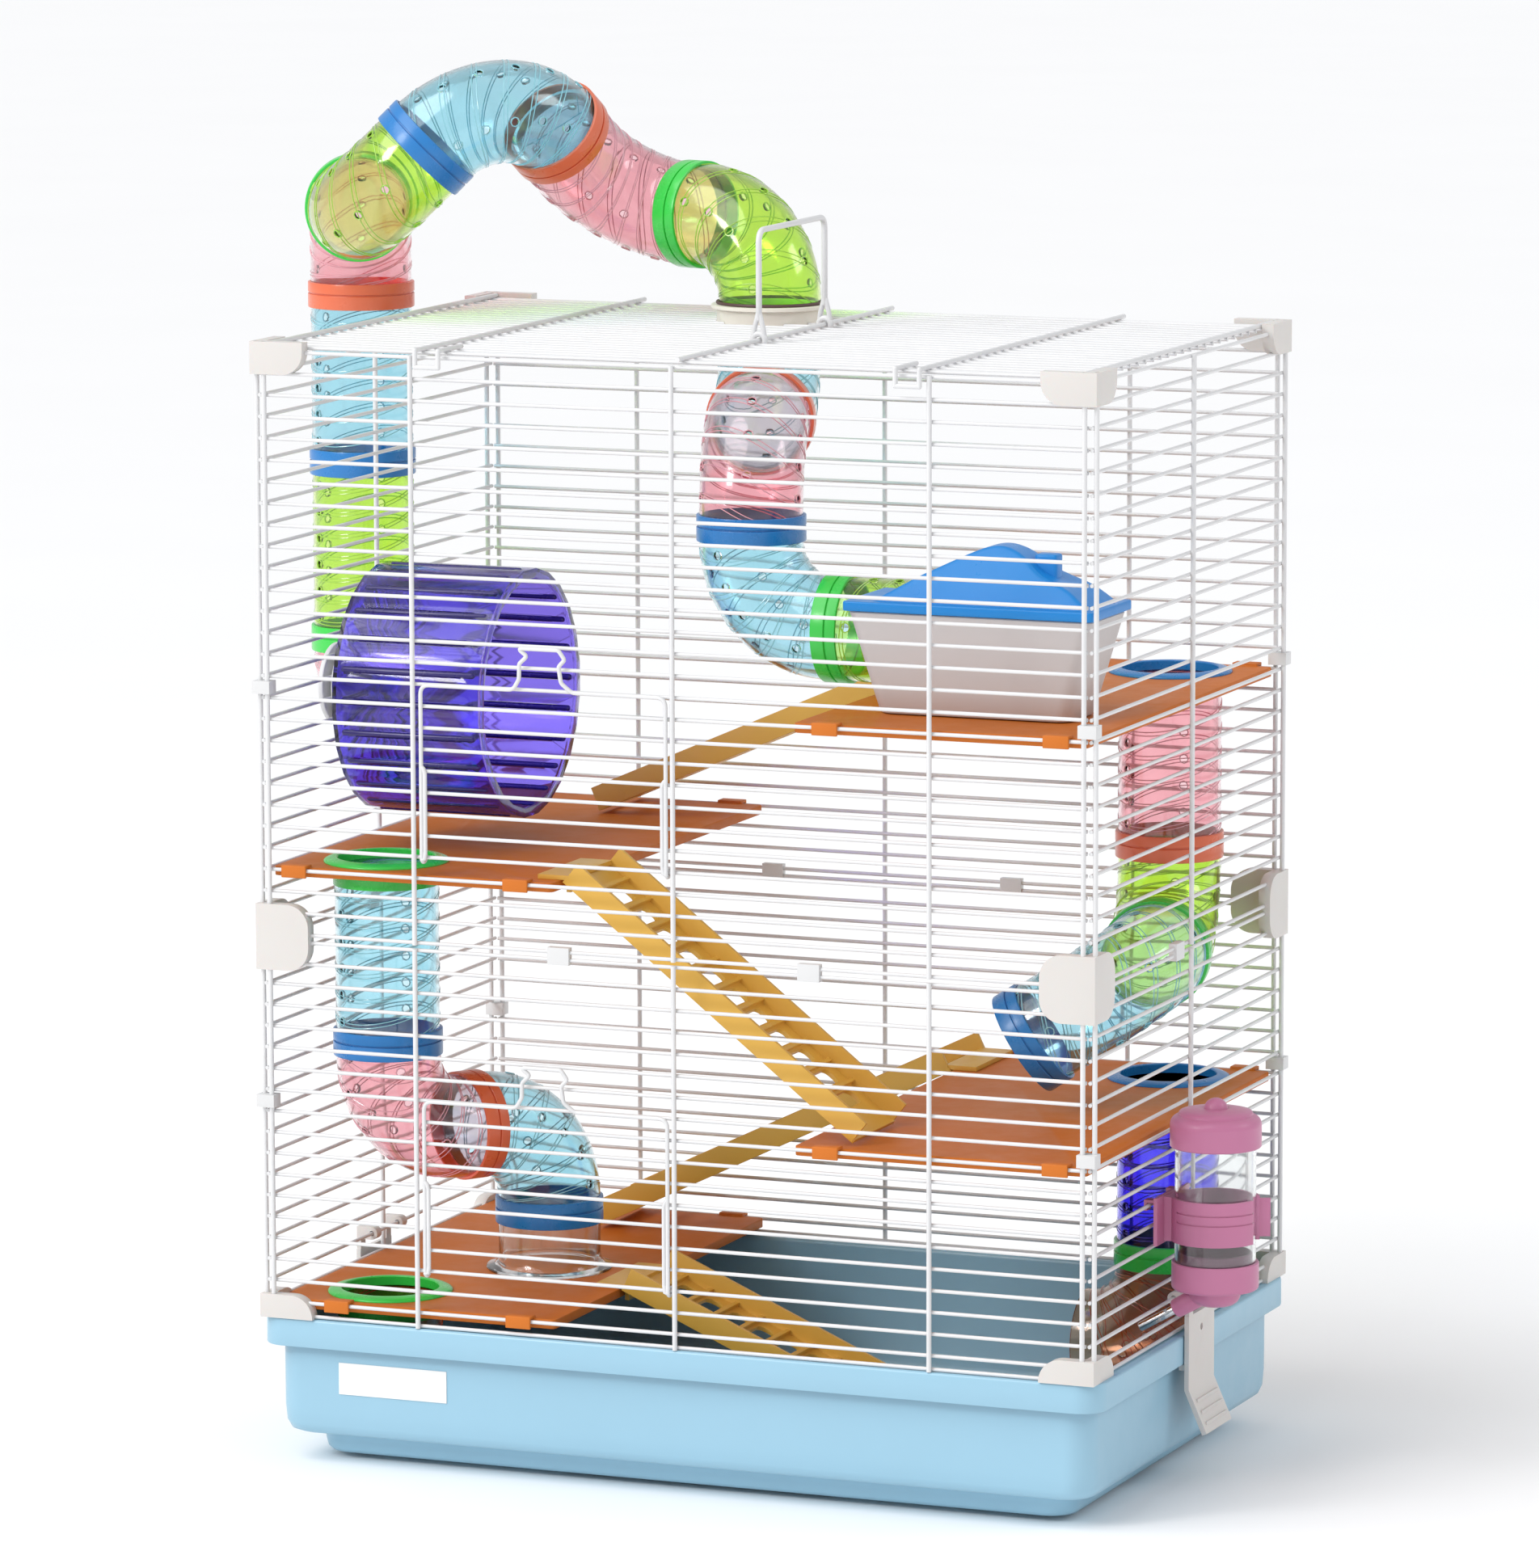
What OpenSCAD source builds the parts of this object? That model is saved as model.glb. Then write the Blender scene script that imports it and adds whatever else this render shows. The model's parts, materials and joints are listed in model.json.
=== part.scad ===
/* [Cage] */
// Outer width of the tray rim along X, mm
rim_w = 470; // [400:1:540]
// Outer depth of the tray rim along Y, mm
rim_d = 300; // [260:1:340]
// Height of the tray rim's top above the feet, mm
rim_z = 79; // [60:1:100]
// Height of the cage's wire top above the feet, mm
cage_z = 594; // [500:1:700]
// Spacing of the horizontal wires, mm
pitch = 11.3; // [9:0.1:14]
// Radius of the thin wires, mm
wire_r = 1; // [0.8:0.05:1.5]
// Radius of the thick wires, mm
rod_r = 1.3; // [1:0.05:2]

/* [Tray] */
// Height of the rim's skirt, mm
rim_h = 15; // [8:1:25]
// Wall thickness of the tray, mm
tray_t = 2.5; // [1.5:0.1:4]
// Width of the tray's body under the rim, mm
body_w = 456; // [380:1:520]
// Depth of the tray's body under the rim, mm
body_d = 286; // [240:1:330]
// Width of the narrower foot step, mm
step_w = 424; // [360:1:500]
// Depth of the narrower foot step, mm
step_d = 254; // [220:1:320]
// Height of the step above the feet, mm
step_z = 17; // [10:1:30]
// Height of the feet, mm
foot_h = 3; // [1:0.5:8]

/* [Doors] */
// Left side of the door openings, mm
door_x0 = -143; // [-200:0.5:-100]
// Right side of the door openings, mm
door_x1 = 2.5; // [-20:0.5:60]
// Height of a door from its hinge wire to its top rail, mm
door_h = 90.4; // [60:0.1:120]
// Width of the finger loop at the top of a door, mm
loop_w = 24; // [16:1:40]
// Height of the finger loop above the top rail, mm
loop_h = 22; // [12:1:34]

/* [Shelves] */
// Inner edge of each shelf from the cage's middle, mm
shelf_x = 67; // [40:1:100]
// Outer edge of each shelf from the cage's middle, mm
shelf_out = 226; // [200:1:230]
// Half depth of a shelf, mm
shelf_y = 144; // [120:1:146]
// Thickness of a shelf, mm
shelf_t = 2.5; // [1.5:0.1:4]
// Height of the shelves' turned-down edge, mm
lip_h = 5; // [3:0.5:9]
// Width of the hooks on the shelves, mm
tab_w = 14; // [8:1:24]

/* [Tubes] */
// Outer radius of the tubes, mm
tube_r = 27.3; // [20:0.1:35]
// Wall thickness of the tubes, mm
tube_t = 1.6; // [1:0.1:3]
// Outer radius of the collars, mm
collar_r = 28.9; // [22:0.1:37]
// Width of a collar, mm
collar_w = 14; // [8:0.5:20]
// Centreline radius of the bends, mm
bend_r = 44; // [34:0.5:60]
// Distance from an elbow's end to its corner, mm
leg = 51; // [46:0.5:70]
// Outer radius of the shelf rings, mm
ring_r = 33; // [30:0.5:40]

/* [Wheel] */
// Radius of the wheel over its flats' corners, mm
wheel_r = 66; // [50:0.5:75]
// Width of the wheel, mm
wheel_w = 85; // [50:1:95]
// Radius of the wheel's axle, mm
axle_r = 3; // [2:0.1:5]

/* [Ramps] */
// Width of a ramp, mm
ramp_w = 58; // [40:1:80]
// Thickness of a ramp's plate, mm
ramp_t = 2.4; // [1.6:0.1:4]
// Height of a ramp's side rails, mm
rail_h = 13; // [4:0.5:16]
// Distance between a ramp's rungs, mm
rung_pitch = 16; // [12:0.5:24]

/* [House] */
// Width of the house at its top, mm
house_w = 136; // [100:1:150]
// Depth of the house at its top, mm
house_d = 60; // [50:1:90]
// Height of the house's body, mm
house_h = 53; // [40:1:70]

/* [Bottle] */
// Radius of the bottle, mm
bottle_r = 21; // [15:0.5:25]
// Distance of the bottle's axis from the cage's middle, mm
bottle_x = 258.5; // [254:0.5:270]
// Position of the bottle's axis along Y, mm
bottle_y = -38; // [-60:1:-30]
// Slope of the drinking tube below level, degrees
spout_slope = 30; // [20:1:33]

/* [Hidden] */
$fn = 64;
gap = 0.4;
fit = 0.02;
// Extra bore radius where a tube starts to bend inside its collar
bend_room = 1.2;
// Wire planes: thin horizontals inside, thick verticals outside
front_y = 146.9;
post_y = front_y + wire_r + rod_r - 0.2;
side_x = 229.3;
side_post_x = side_x + wire_r + rod_r - 0.2;
edge_x = 226;
edge_y = 146;
split_hi = 283.4;
split_lo = 279.4;
base_rail = rim_z + 1.3;
n_up = 27;
n_low = 17;
up_z = [for (i = [0 : n_up]) split_hi + i * pitch];
low_z = concat([for (k = [0 : n_low]) split_lo - k * pitch], [base_rail]);
top_rail = up_z[n_up];
top_wire_z = top_rail + 2;
top_rod_z = top_wire_z + wire_r + rod_r - 0.2;
// Doors
hinge_up = up_z[4];
hinge_low = low_z[15];
// Shelf heights, each just above the wire that its hooks hang on
rise = 1.3;
shelf_a_z = up_z[3] + rise;
shelf_b_z = up_z[11] + rise;
shelf_c_z = low_z[8] + rise;
shelf_d_z = low_z[17] + rise;
left_hole = [-178, -107];
right_hole = [181, 108];
// Outside tube run: joints and corners
riser = [-271.6, 70.1];
entry_z = 360;
riser_z1 = entry_z + leg;
riser_z2 = 507.5;
riser_z3 = 598.5;
turn_w = [sin(24), -cos(24), 0];
turn_u = [cos(16.7), -sin(16.7), 0];
out_c0 = [riser[0], riser[1], riser_z3 + leg];
out_c1 = out_c0 + 2 * leg * turn_w;
out_d2 = cos(44.2) * [cos(24), sin(24), 0] + [0, 0, sin(44.2)];
out_j2 = out_c1 + leg * out_d2;
over_leg = 57.2;
out_c2 = out_j2 + over_leg * out_d2;
top_hole = [-36, 80];
hole_z = 594;
out_c4 = [top_hole[0], top_hole[1], hole_z + leg];
out_c3 = out_c4 - 2 * leg * turn_u;
out_d3 = (out_c3 - out_c2) / norm(out_c3 - out_c2);
out_j3 = out_c2 + over_leg * out_d3;
// Inside run under the wire top
in_w = [sin(16.4), -cos(16.4), 0];
in_c0 = [top_hole[0], top_hole[1], hole_z - leg];
in_c1 = in_c0 + 2 * leg * in_w;
in_j2 = in_c1 - [0, 0, leg];
in_c2 = in_j2 - [0, 0, leg];
in_j3 = in_c2 + [leg, 0, 0];
in_end = in_c2 + [leg + 100, 0, 0];
// Run under shelf A
a_z = 223;
a_t = [cos(58), sin(58), 0];
a_c1 = [left_hole[0], left_hole[1], a_z - leg];
a_c2 = a_c1 + 2 * leg * a_t;
a_j2 = a_c2 - [0, 0, leg];
// Run under shelf B
b_z = 317;
b_t = [sin(12), -cos(12), 0];
b_c1 = [right_hole[0], right_hole[1], b_z - leg];
b_c2 = b_c1 + 2 * leg * b_t;
b_d = -cos(33) * [cos(12), sin(12), 0] - [0, 0, sin(33)];
b_leg = 74;
b_end = b_c2 + b_leg * b_d;
// Run under shelf C
c_z = 95.5;
c_c1 = [right_hole[0], right_hole[1], c_z - leg];
c_end = c_c1 - [46, 0, 0];
stub_z = 34;
// Wheel axis and planes
wheel_y = -45;
wheel_z = (up_z[10] + up_z[11]) / 2;
wheel_x = -207;
// House on shelf B
house_x = 147;
house_y = -77;
house_z = shelf_b_z + 0.2;
house_in = 17;
house_t = 2;
// Bottle heights
bottle_z0 = 118;
bottle_z1 = 191.7;
// Where the drinking tube's axis meets the wires, and where it meets the bottle's axis
spout_z = (low_z[16] + low_z[17]) / 2;
spout_top = spout_z + (bottle_x - side_x) * tan(spout_slope);
spout_r = 2.4;
latch_w = 40;
latch_z = low_z[16];

white_wire = [0.93, 0.93, 0.92];
off_white = [0.93, 0.91, 0.88];
orange = [0.80, 0.42, 0.14];
mustard = [0.85, 0.66, 0.20];
pink = [0.96, 0.62, 0.66, 0.6];
sky = [0.45, 0.80, 0.90, 0.6];
lime = [0.6, 0.93, 0.2, 0.6];
amber = [0.8, 0.35, 0.15, 0.6];
blue = [0.12, 0.42, 0.80];
red = [0.85, 0.36, 0.25];
green = [0.2, 0.8, 0.25];

// ---------- helpers ----------
function unit(v) = v / norm(v);

// Puts local Z along d and local X along the part of t square to d
module aim(p, d, t) {
  z = unit(d);
  x = unit(t - (t * z) * z);
  y = cross(z, x);
  multmatrix([[x[0], y[0], z[0], p[0]], [x[1], y[1], z[1], p[1]], [x[2], y[2], z[2], p[2]], [0, 0, 0, 1]])
    children();
}

// Any direction that is square enough to d
function side_of(d) = abs(unit(d)[2]) > 0.9 ? [1, 0, 0] : [0, 0, 1];

module rod(a, b, r) {
  aim(a, b - a, side_of(b - a))
    cylinder(r = r, h = norm(b - a));
}

// Bent wire: straight rods with a ball at each bend
module bent(pts, r) {
  for (i = [0 : len(pts) - 2])
    rod(pts[i], pts[i + 1], r);
  for (i = [1 : len(pts) - 2])
    translate(pts[i]) sphere(r = r * 1.02);
}

module round_rect(w, d, r) {
  square([w - 2 * r, d], center = true);
  square([w, d - 2 * r], center = true);
  for (x = [-1, 1], y = [-1, 1])
    translate([x * (w / 2 - r), y * (d / 2 - r)]) circle(r = r);
}

module shell(w, d, r, t, h) {
  linear_extrude(h) difference() {
    round_rect(w, d, r);
    round_rect(w - 2 * t, d - 2 * t, r - t);
  }
}

module tube_section() {
  difference() {
    circle(r = tube_r);
    circle(r = tube_r - tube_t);
  }
}

// Tube from point a to point b, with half a gap left at each end
module straight_tube(a, b) {
  aim(a, b - a, side_of(b - a))
    translate([0, 0, gap / 2]) linear_extrude(norm(b - a) - gap) tube_section();
}

// Tube from a to b round the corner c
module elbow(a, c, b) {
  ang = acos(unit(c - a) * unit(b - c));
  cut = bend_r * tan(ang / 2);
  l1 = norm(c - a);
  l2 = norm(b - c);
  aim(a, c - a, b - c) {
    translate([0, 0, gap / 2]) linear_extrude(l1 - cut - gap / 2) tube_section();
    translate([bend_r, 0, l1 - cut]) rotate([90, 0, 180])
      rotate_extrude(angle = ang) translate([bend_r, 0]) tube_section();
    translate([bend_r * (1 - cos(ang)), 0, l1 - cut + bend_r * sin(ang)]) rotate([0, ang, 0])
      linear_extrude(l2 - cut - gap / 2) tube_section();
  }
}

// Tube from a to b that is one bend at its far end, after a straight first leg
module long_bend(a, c, b) {
  ang = acos(unit(c - a) * unit(b - c));
  l1 = norm(c - a) - gap / 2;
  l2 = norm(b - c) - gap / 2;
  r = l2 / tan(ang / 2);
  aim(a + gap / 2 * unit(c - a), c - a, b - c) {
    if (l1 > l2 + 0.1)
      linear_extrude(l1 - l2) tube_section();
    translate([r, 0, l1 > l2 + 0.1 ? l1 - l2 : 0]) rotate([90, 0, 180])
      rotate_extrude(angle = ang) translate([r, 0]) tube_section();
  }
}

// Collar centred on p with its axis along d, with its bore eased towards d, away from it, or neither
module collar(p, d, ease = 0) {
  aim(p, d, side_of(d)) difference() {
    translate([0, 0, -collar_w / 2]) cylinder(r = collar_r, h = collar_w);
    translate([0, 0, -collar_w]) cylinder(r = tube_r + fit, h = 2 * collar_w);
    if (ease != 0)
      translate([0, 0, ease > 0 ? 0.6 : -collar_w - 0.6]) cylinder(r = tube_r + bend_room, h = collar_w);
    translate([0, 0, -0.4]) difference() {
      cylinder(r = collar_r + 1, h = 0.8);
      translate([0, 0, -1]) cylinder(r = collar_r - 0.4, h = 3);
    }
  }
}

// ---------- tray ----------
module tray() {
  color([0.67, 0.85, 0.94]) {
    // rim: top plate and outer skirt
    translate([0, 0, rim_z - tray_t]) linear_extrude(tray_t) difference() {
      round_rect(rim_w, rim_d, 14);
      round_rect(body_w - 2 * tray_t, body_d - 2 * tray_t, 12);
    }
    translate([0, 0, rim_z - rim_h]) shell(rim_w, rim_d, 14, 2, rim_h);
    // upper basin wall, step and lower basin
    translate([0, 0, step_z]) shell(body_w, body_d, 14.5, tray_t, rim_z - step_z);
    translate([0, 0, step_z - tray_t]) linear_extrude(tray_t) difference() {
      round_rect(body_w, body_d, 14.5);
      round_rect(step_w - 2 * tray_t, step_d - 2 * tray_t, 12);
    }
    translate([0, 0, foot_h]) shell(step_w, step_d, 14.5, tray_t, step_z - foot_h);
    translate([0, 0, foot_h]) linear_extrude(tray_t) round_rect(step_w, step_d, 14.5);
    // shallow middle panel, level with the feet
    linear_extrude(foot_h + 0.5) round_rect(180, 90, 12);
    // long low feet
    for (x = [-1, 1], y = [-1, 1])
      translate([x * 130, y * (step_d / 2 - 22), 0]) linear_extrude(foot_h + 0.5)
        round_rect(110, 16, 7);
  }
}

module label_plate() {
  color([0.95, 0.95, 0.94])
    translate([-160.5, -body_d / 2 - 0.6, 47.5]) rotate([90, 0, 0]) translate([0, 0, -0.6])
      linear_extrude(0.6) square([62, 17], center = true);
}

// ---------- wire panels ----------
// Horizontal wires along X on a front or back wall, broken between x0 and x1 for a door
module rows(levels, skip) {
  for (i = [0 : len(levels) - 1])
    if (len(skip) > 0 && i >= skip[0] && i <= skip[1]) {
      rod([-edge_x - 1.3, -front_y, levels[i]], [door_x0, -front_y, levels[i]], wire_r);
      rod([door_x1, -front_y, levels[i]], [edge_x + 1.3, -front_y, levels[i]], wire_r);
    } else
      rod([-edge_x - 1.3, -front_y, levels[i]], [edge_x + 1.3, -front_y, levels[i]], wire_r);
}

module wall_panel(levels, z0, z1, skip) {
  rows(levels, skip);
  for (x = [-edge_x, door_x0, door_x1, 143, edge_x])
    rod([x, -post_y, z0], [x, -post_y, z1], rod_r);
}

module side_panel(levels, z0, z1) {
  for (z = levels)
    rod([side_x, -edge_y - rod_r, z], [side_x, edge_y + rod_r, z], wire_r);
  for (y = [-edge_y, 0, edge_y])
    rod([side_post_x, y, z0], [side_post_x, y, z1], rod_r);
}

up_z0 = split_hi - wire_r;
up_z1 = top_rail + wire_r;
low_z0 = rim_z + 0.2;
low_z1 = split_lo + wire_r;

module front_upper() {
  color(white_wire) wall_panel(up_z, up_z0, up_z1, [5, 11]);
}

module front_lower() {
  color(white_wire) wall_panel(low_z, low_z0, low_z1, [8, 14]);
}

module back_upper() {
  color(white_wire) mirror([0, 1, 0]) wall_panel(up_z, up_z0, up_z1, []);
}

module back_lower() {
  color(white_wire) mirror([0, 1, 0]) wall_panel(low_z, low_z0, low_z1, []);
}

module right_upper() {
  color(white_wire) side_panel(up_z, up_z0, up_z1);
}

module right_lower() {
  color(white_wire) side_panel(low_z, low_z0, low_z1);
}

module left_upper() {
  color(white_wire) difference() {
    mirror([1, 0, 0]) side_panel(up_z, up_z0, up_z1);
    translate([-250, riser[1], entry_z]) rotate([0, 90, 0]) cylinder(r = collar_r, h = 40);
  }
}

module left_lower() {
  color(white_wire) mirror([1, 0, 0]) side_panel(low_z, low_z0, low_z1);
}

// Hook at the front end of a top rod: over the front rail, across, and back
module top_hook(x, way) {
  y0 = -front_y - 5.5;
  bent([[x, -130, top_rod_z], [x, y0, top_rod_z], [x, y0, top_rail - 4.5],
    [x + way * 13, y0, top_rail - 4.5], [x + way * 13, y0, top_rod_z],
    [x + way * 13, -front_y + 24, top_rod_z]], rod_r);
}

module top_panel() {
  color(white_wire) {
    difference() {
      for (y = concat([for (j = [0 : 24]) -138 + 11.5 * j], [-142.6, 142.6]))
        rod([-225.6, y, top_wire_z], [225.6, y, top_wire_z], wire_r);
      translate([top_hole[0], top_hole[1], top_wire_z - 5]) cylinder(r = collar_r, h = 10);
    }
    for (x = [-224.4, 224.4])
      rod([x, -143.6, top_rod_z], [x, 143.6, top_rod_z], rod_r);
    for (x = [-138.5, 139])
      rod([x, -131, top_rod_z], [x, 150, top_rod_z], rod_r);
    rod([6.5, -150, top_rod_z], [6.5, 150, top_rod_z], rod_r);
    top_hook(-138.5, 1);
    top_hook(139, -1);
  }
}

// ---------- doors and handle ----------
// Door frame in its own plane, hinge eyes round the wire at height zh
module door(zh) {
  eye = 2.5;
  fr = 1.1;
  dy = -front_y - eye;
  xl = door_x0 + 4.7;
  xr = door_x1 - 3.6;
  lx = -69;
  zt = zh + door_h;
  bent([[xl, dy, zh], [xl, dy, zt], [lx - loop_w / 2 - 3, dy, zt],
    [lx - loop_w / 2, dy - 2.5, zt + 5], [lx - loop_w / 2, dy - 2.5, zt + 15],
    [lx - loop_w / 2 + 3.4, dy - 1, zt + 18], [lx - loop_w / 2, dy - 2.5, zt + loop_h],
    [lx + loop_w / 2, dy - 2.5, zt + loop_h], [lx + loop_w / 2 + 3.4, dy - 1, zt + 18],
    [lx + loop_w / 2, dy - 2.5, zt + 15], [lx + loop_w / 2, dy - 2.5, zt + 5],
    [lx + loop_w / 2 + 3, dy, zt], [xr, dy, zt], [xr, dy, zh]], fr);
  for (x = [xl, xr])
    aim([x, -front_y, zh], [1, 0, 0], [0, -1, 0])
      rotate_extrude(angle = 250) translate([eye, 0]) circle(r = fr);
  for (x = [xl + 2, xr - 2])
    rod([x, dy, zh + 5], [x, dy, zh + 45], fr);
  for (i = [1 : 7])
    rod([xl - fr, dy + fr + wire_r - 0.2, zh + i * pitch], [xr + fr, dy + fr + wire_r - 0.2, zh + i * pitch],
      wire_r);
}

module door_upper() {
  color(white_wire) door(hinge_up);
}

module door_lower() {
  color(white_wire) door(hinge_low);
}

handle_y = [-40.25, 51.75];
handle_h = 57;
module handle() {
  hr = 1.6;
  eye = rod_r + gap + hr;
  bend = 8;
  color(white_wire) {
    for (y = handle_y) {
      translate([6.5, y, top_rod_z]) rotate([90, 0, 0])
        rotate_extrude(angle = 360) translate([eye, 0]) circle(r = hr);
      rod([6.5, y, top_rod_z + eye], [6.5, y, top_rod_z + handle_h - bend], hr);
    }
    translate([6.5, handle_y[0] + bend, top_rod_z + handle_h - bend]) rotate([0, -90, 0])
      rotate([0, 0, -90]) rotate_extrude(angle = 90) translate([bend, 0]) circle(r = hr);
    translate([6.5, handle_y[1] - bend, top_rod_z + handle_h - bend]) rotate([0, -90, 0])
      rotate_extrude(angle = 90) translate([bend, 0]) circle(r = hr);
    rod([6.5, handle_y[0] + bend, top_rod_z + handle_h], [6.5, handle_y[1] - bend, top_rod_z + handle_h], hr);
  }
}

// ---------- corner pieces and clips ----------
con_out_x = 233.1;
con_out_y = 151.2;
con_l = 30;
// One leg's outline: a plate from the corner with rounded free corners
module leg_outline(z0, z1, low_round, high_round) {
  r = 12;
  difference() {
    square([con_l, z1 - z0]);
    if (low_round)
      translate([con_l - r, 0]) difference() {
        square([r + 1, r]);
        translate([0, r]) circle(r = r);
      }
    if (high_round)
      translate([con_l - r, z1 - z0 - r]) difference() {
        square([r + 1, r + 1]);
        circle(r = r);
      }
  }
}

// Corner piece at +X, -Y with grooves for the wires that pass through it
module corner_piece(z0, z1, low_round, high_round) {
  difference() {
    union() {
      translate([con_out_x, -con_out_y, z0]) rotate([0, 0, 180]) rotate([90, 0, 0])
        linear_extrude(7) leg_outline(z0, z1, low_round, high_round);
      translate([con_out_x - 6.5, -con_out_y, z0]) rotate([90, 0, 90])
        linear_extrude(6.5) leg_outline(z0, z1, low_round, high_round);
    }
    translate([edge_x, -post_y, z0 - 1]) cylinder(r = rod_r + fit, h = z1 - z0 + 2);
    translate([side_post_x, -edge_y, z0 - 1]) cylinder(r = rod_r + fit, h = z1 - z0 + 2);
    for (z = concat(up_z, low_z))
      if (z > z0 - 2 && z < z1 + 2) {
        rod([con_out_x - con_l - 5, -front_y, z], [edge_x + 1.4, -front_y, z], wire_r + fit);
        rod([side_x, -edge_y - rod_r - 0.1, z], [side_x, -con_out_y + con_l + 5, z], wire_r + fit);
      }
  }
}

module four_corners() {
  for (mx = [0, 1], my = [0, 1])
    mirror([mx, 0, 0]) mirror([0, my, 0]) children();
}

module top_connectors() {
  color(off_white) four_corners() corner_piece(top_rail - 11.5, cage_z, true, false);
}

module mid_connectors() {
  color(off_white) four_corners() corner_piece(264.6, 299.4, true, true);
}

module base_connectors() {
  color(off_white) four_corners() corner_piece(rim_z, rim_z + 12.5, false, true);
}

module corner_clips() {
  color([0.95, 0.95, 0.94]) four_corners()
    for (z = [(up_z[11] + up_z[12]) / 2, (low_z[7] + low_z[8]) / 2])
      difference() {
        translate([228.6, -147.6, z]) cube([10, 8.4, 6.6], center = true);
        translate([edge_x, -post_y, z - 5]) cylinder(r = rod_r + fit, h = 10);
        translate([side_post_x, -edge_y, z - 5]) cylinder(r = rod_r + fit, h = 10);
      }
}

// Clip that ties the upper panel's bottom rail to the lower panel's top rail
module joint_clip() {
  h = split_hi - split_lo + 5;
  difference() {
    translate([0, 0, (split_hi + split_lo) / 2]) cube([12, 4.4, h], center = true);
    for (z = [split_hi, split_lo])
      rod([-8, 0, z], [8, 0, z], wire_r + fit);
  }
}

module joint_clips() {
  color([0.95, 0.95, 0.94]) {
    for (x = [-62, 77], y = [-front_y, front_y])
      translate([x, y, 0]) joint_clip();
    for (x = [-side_x, side_x])
      translate([x, -17, 0]) rotate([0, 0, 90]) joint_clip();
  }
}

// Base latch on the right wall: two eyes on a wire, arms, plate, catch and thumb tab
module latch() {
  eye_r = wire_r + gap;
  plate_x = rim_w / 2 + 0.6;
  plate_t = 2.5;
  flare_x = 10;
  flare_z = 50;
  end_z = 27;
  for (y = [-1, 1])
    translate([0, y * (latch_w / 2 - 3.5), 0]) difference() {
      union() {
        translate([side_x, 3, latch_z]) rotate([90, 0, 0]) cylinder(r = 3.4, h = 6);
        translate([side_x, -3, latch_z - 3.4]) cube([plate_x + plate_t - side_x, 6, 6.8]);
        translate([plate_x, -3, latch_z - 14]) cube([plate_t, 6, 17.4]);
      }
      translate([side_x, 5, latch_z]) rotate([90, 0, 0]) cylinder(r = eye_r, h = 10);
    }
  // plate with a small hole and a thumb end that leans outwards
  difference() {
    slab_x([[plate_x, latch_z - 9], [plate_x, flare_z], [plate_x + flare_x, end_z],
      [plate_x + flare_x + plate_t, end_z + 1], [plate_x + plate_t, flare_z + 0.6],
      [plate_x + plate_t, latch_z - 9]], -latch_w / 2, latch_w / 2);
    translate([plate_x - 1, 0, latch_z - 18]) rotate([0, 90, 0]) cylinder(r = 1.9, h = plate_t + 2);
  }
  // catch under the rim's skirt
  translate([plate_x - 4, -latch_w / 2 + 3, rim_z - rim_h - 4]) cube([4.2, latch_w - 6, 3.1]);
  // ridges on the thumb end
  for (i = [1 : 3])
    translate([plate_x + plate_t + flare_x * i / 4, 0, flare_z - (flare_z - end_z) * i / 4])
      cube([2.4, latch_w - 8, 1.6], center = true);
}

module latch_right() {
  color(off_white) latch();
}

module latch_left() {
  color(off_white) mirror([1, 0, 0]) latch();
}

// ---------- shelves ----------
module hook_tab(x, z) {
  t = 1.5;
  translate([x - tab_w / 2, -front_y - wire_r - t - 0.1, z]) cube([tab_w, 8, t]);
  translate([x - tab_w / 2, -front_y - wire_r - t - 0.1, z - 5]) cube([tab_w, t, 5.5]);
}

module shelf(z, side, hole, tabs) {
  xc = side * (shelf_x + shelf_out) / 2;
  w = shelf_out - shelf_x;
  color(orange) {
    translate([xc, 0, z - shelf_t]) linear_extrude(shelf_t) difference() {
      round_rect(w, 2 * shelf_y, 3);
      translate([hole[0] - xc, hole[1]]) circle(r = tube_r + 0.9);
    }
    translate([xc, 0, z - lip_h]) shell(w, 2 * shelf_y, 3, 1.8, lip_h - 0.5);
    for (x = tabs)
      hook_tab(x, z);
    mirror([0, 1, 0]) for (x = tabs)
      hook_tab(x, z);
  }
}

module shelf_a() {
  shelf(shelf_a_z, -1, left_hole, [-212, -86]);
}

module shelf_b() {
  shelf(shelf_b_z, 1, right_hole, [86, 211]);
}

module shelf_c() {
  shelf(shelf_c_z, 1, right_hole, [86, 211]);
}

module shelf_d() {
  shelf(shelf_d_z, -1, left_hole, [-190, -86]);
}

// Ring that lines a shelf hole: flange on top, sleeve through the hole
module shelf_ring(hole, z) {
  translate([hole[0], hole[1], z]) difference() {
    union() {
      translate([0, 0, 0]) cylinder(r = ring_r, h = 2.5);
      translate([0, 0, -12]) cylinder(r = tube_r + 0.85, h = 13);
    }
    translate([0, 0, -13]) cylinder(r = tube_r + fit, h = 12);
    translate([0, 0, -2]) cylinder(r = tube_r - tube_t, h = 8);
  }
}

module green_rings() {
  color(green) {
    shelf_ring(left_hole, shelf_a_z);
    shelf_ring(left_hole, shelf_d_z);
  }
}

module blue_rings() {
  color(blue) {
    shelf_ring(right_hole, shelf_b_z);
    shelf_ring(right_hole, shelf_c_z);
  }
}

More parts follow.
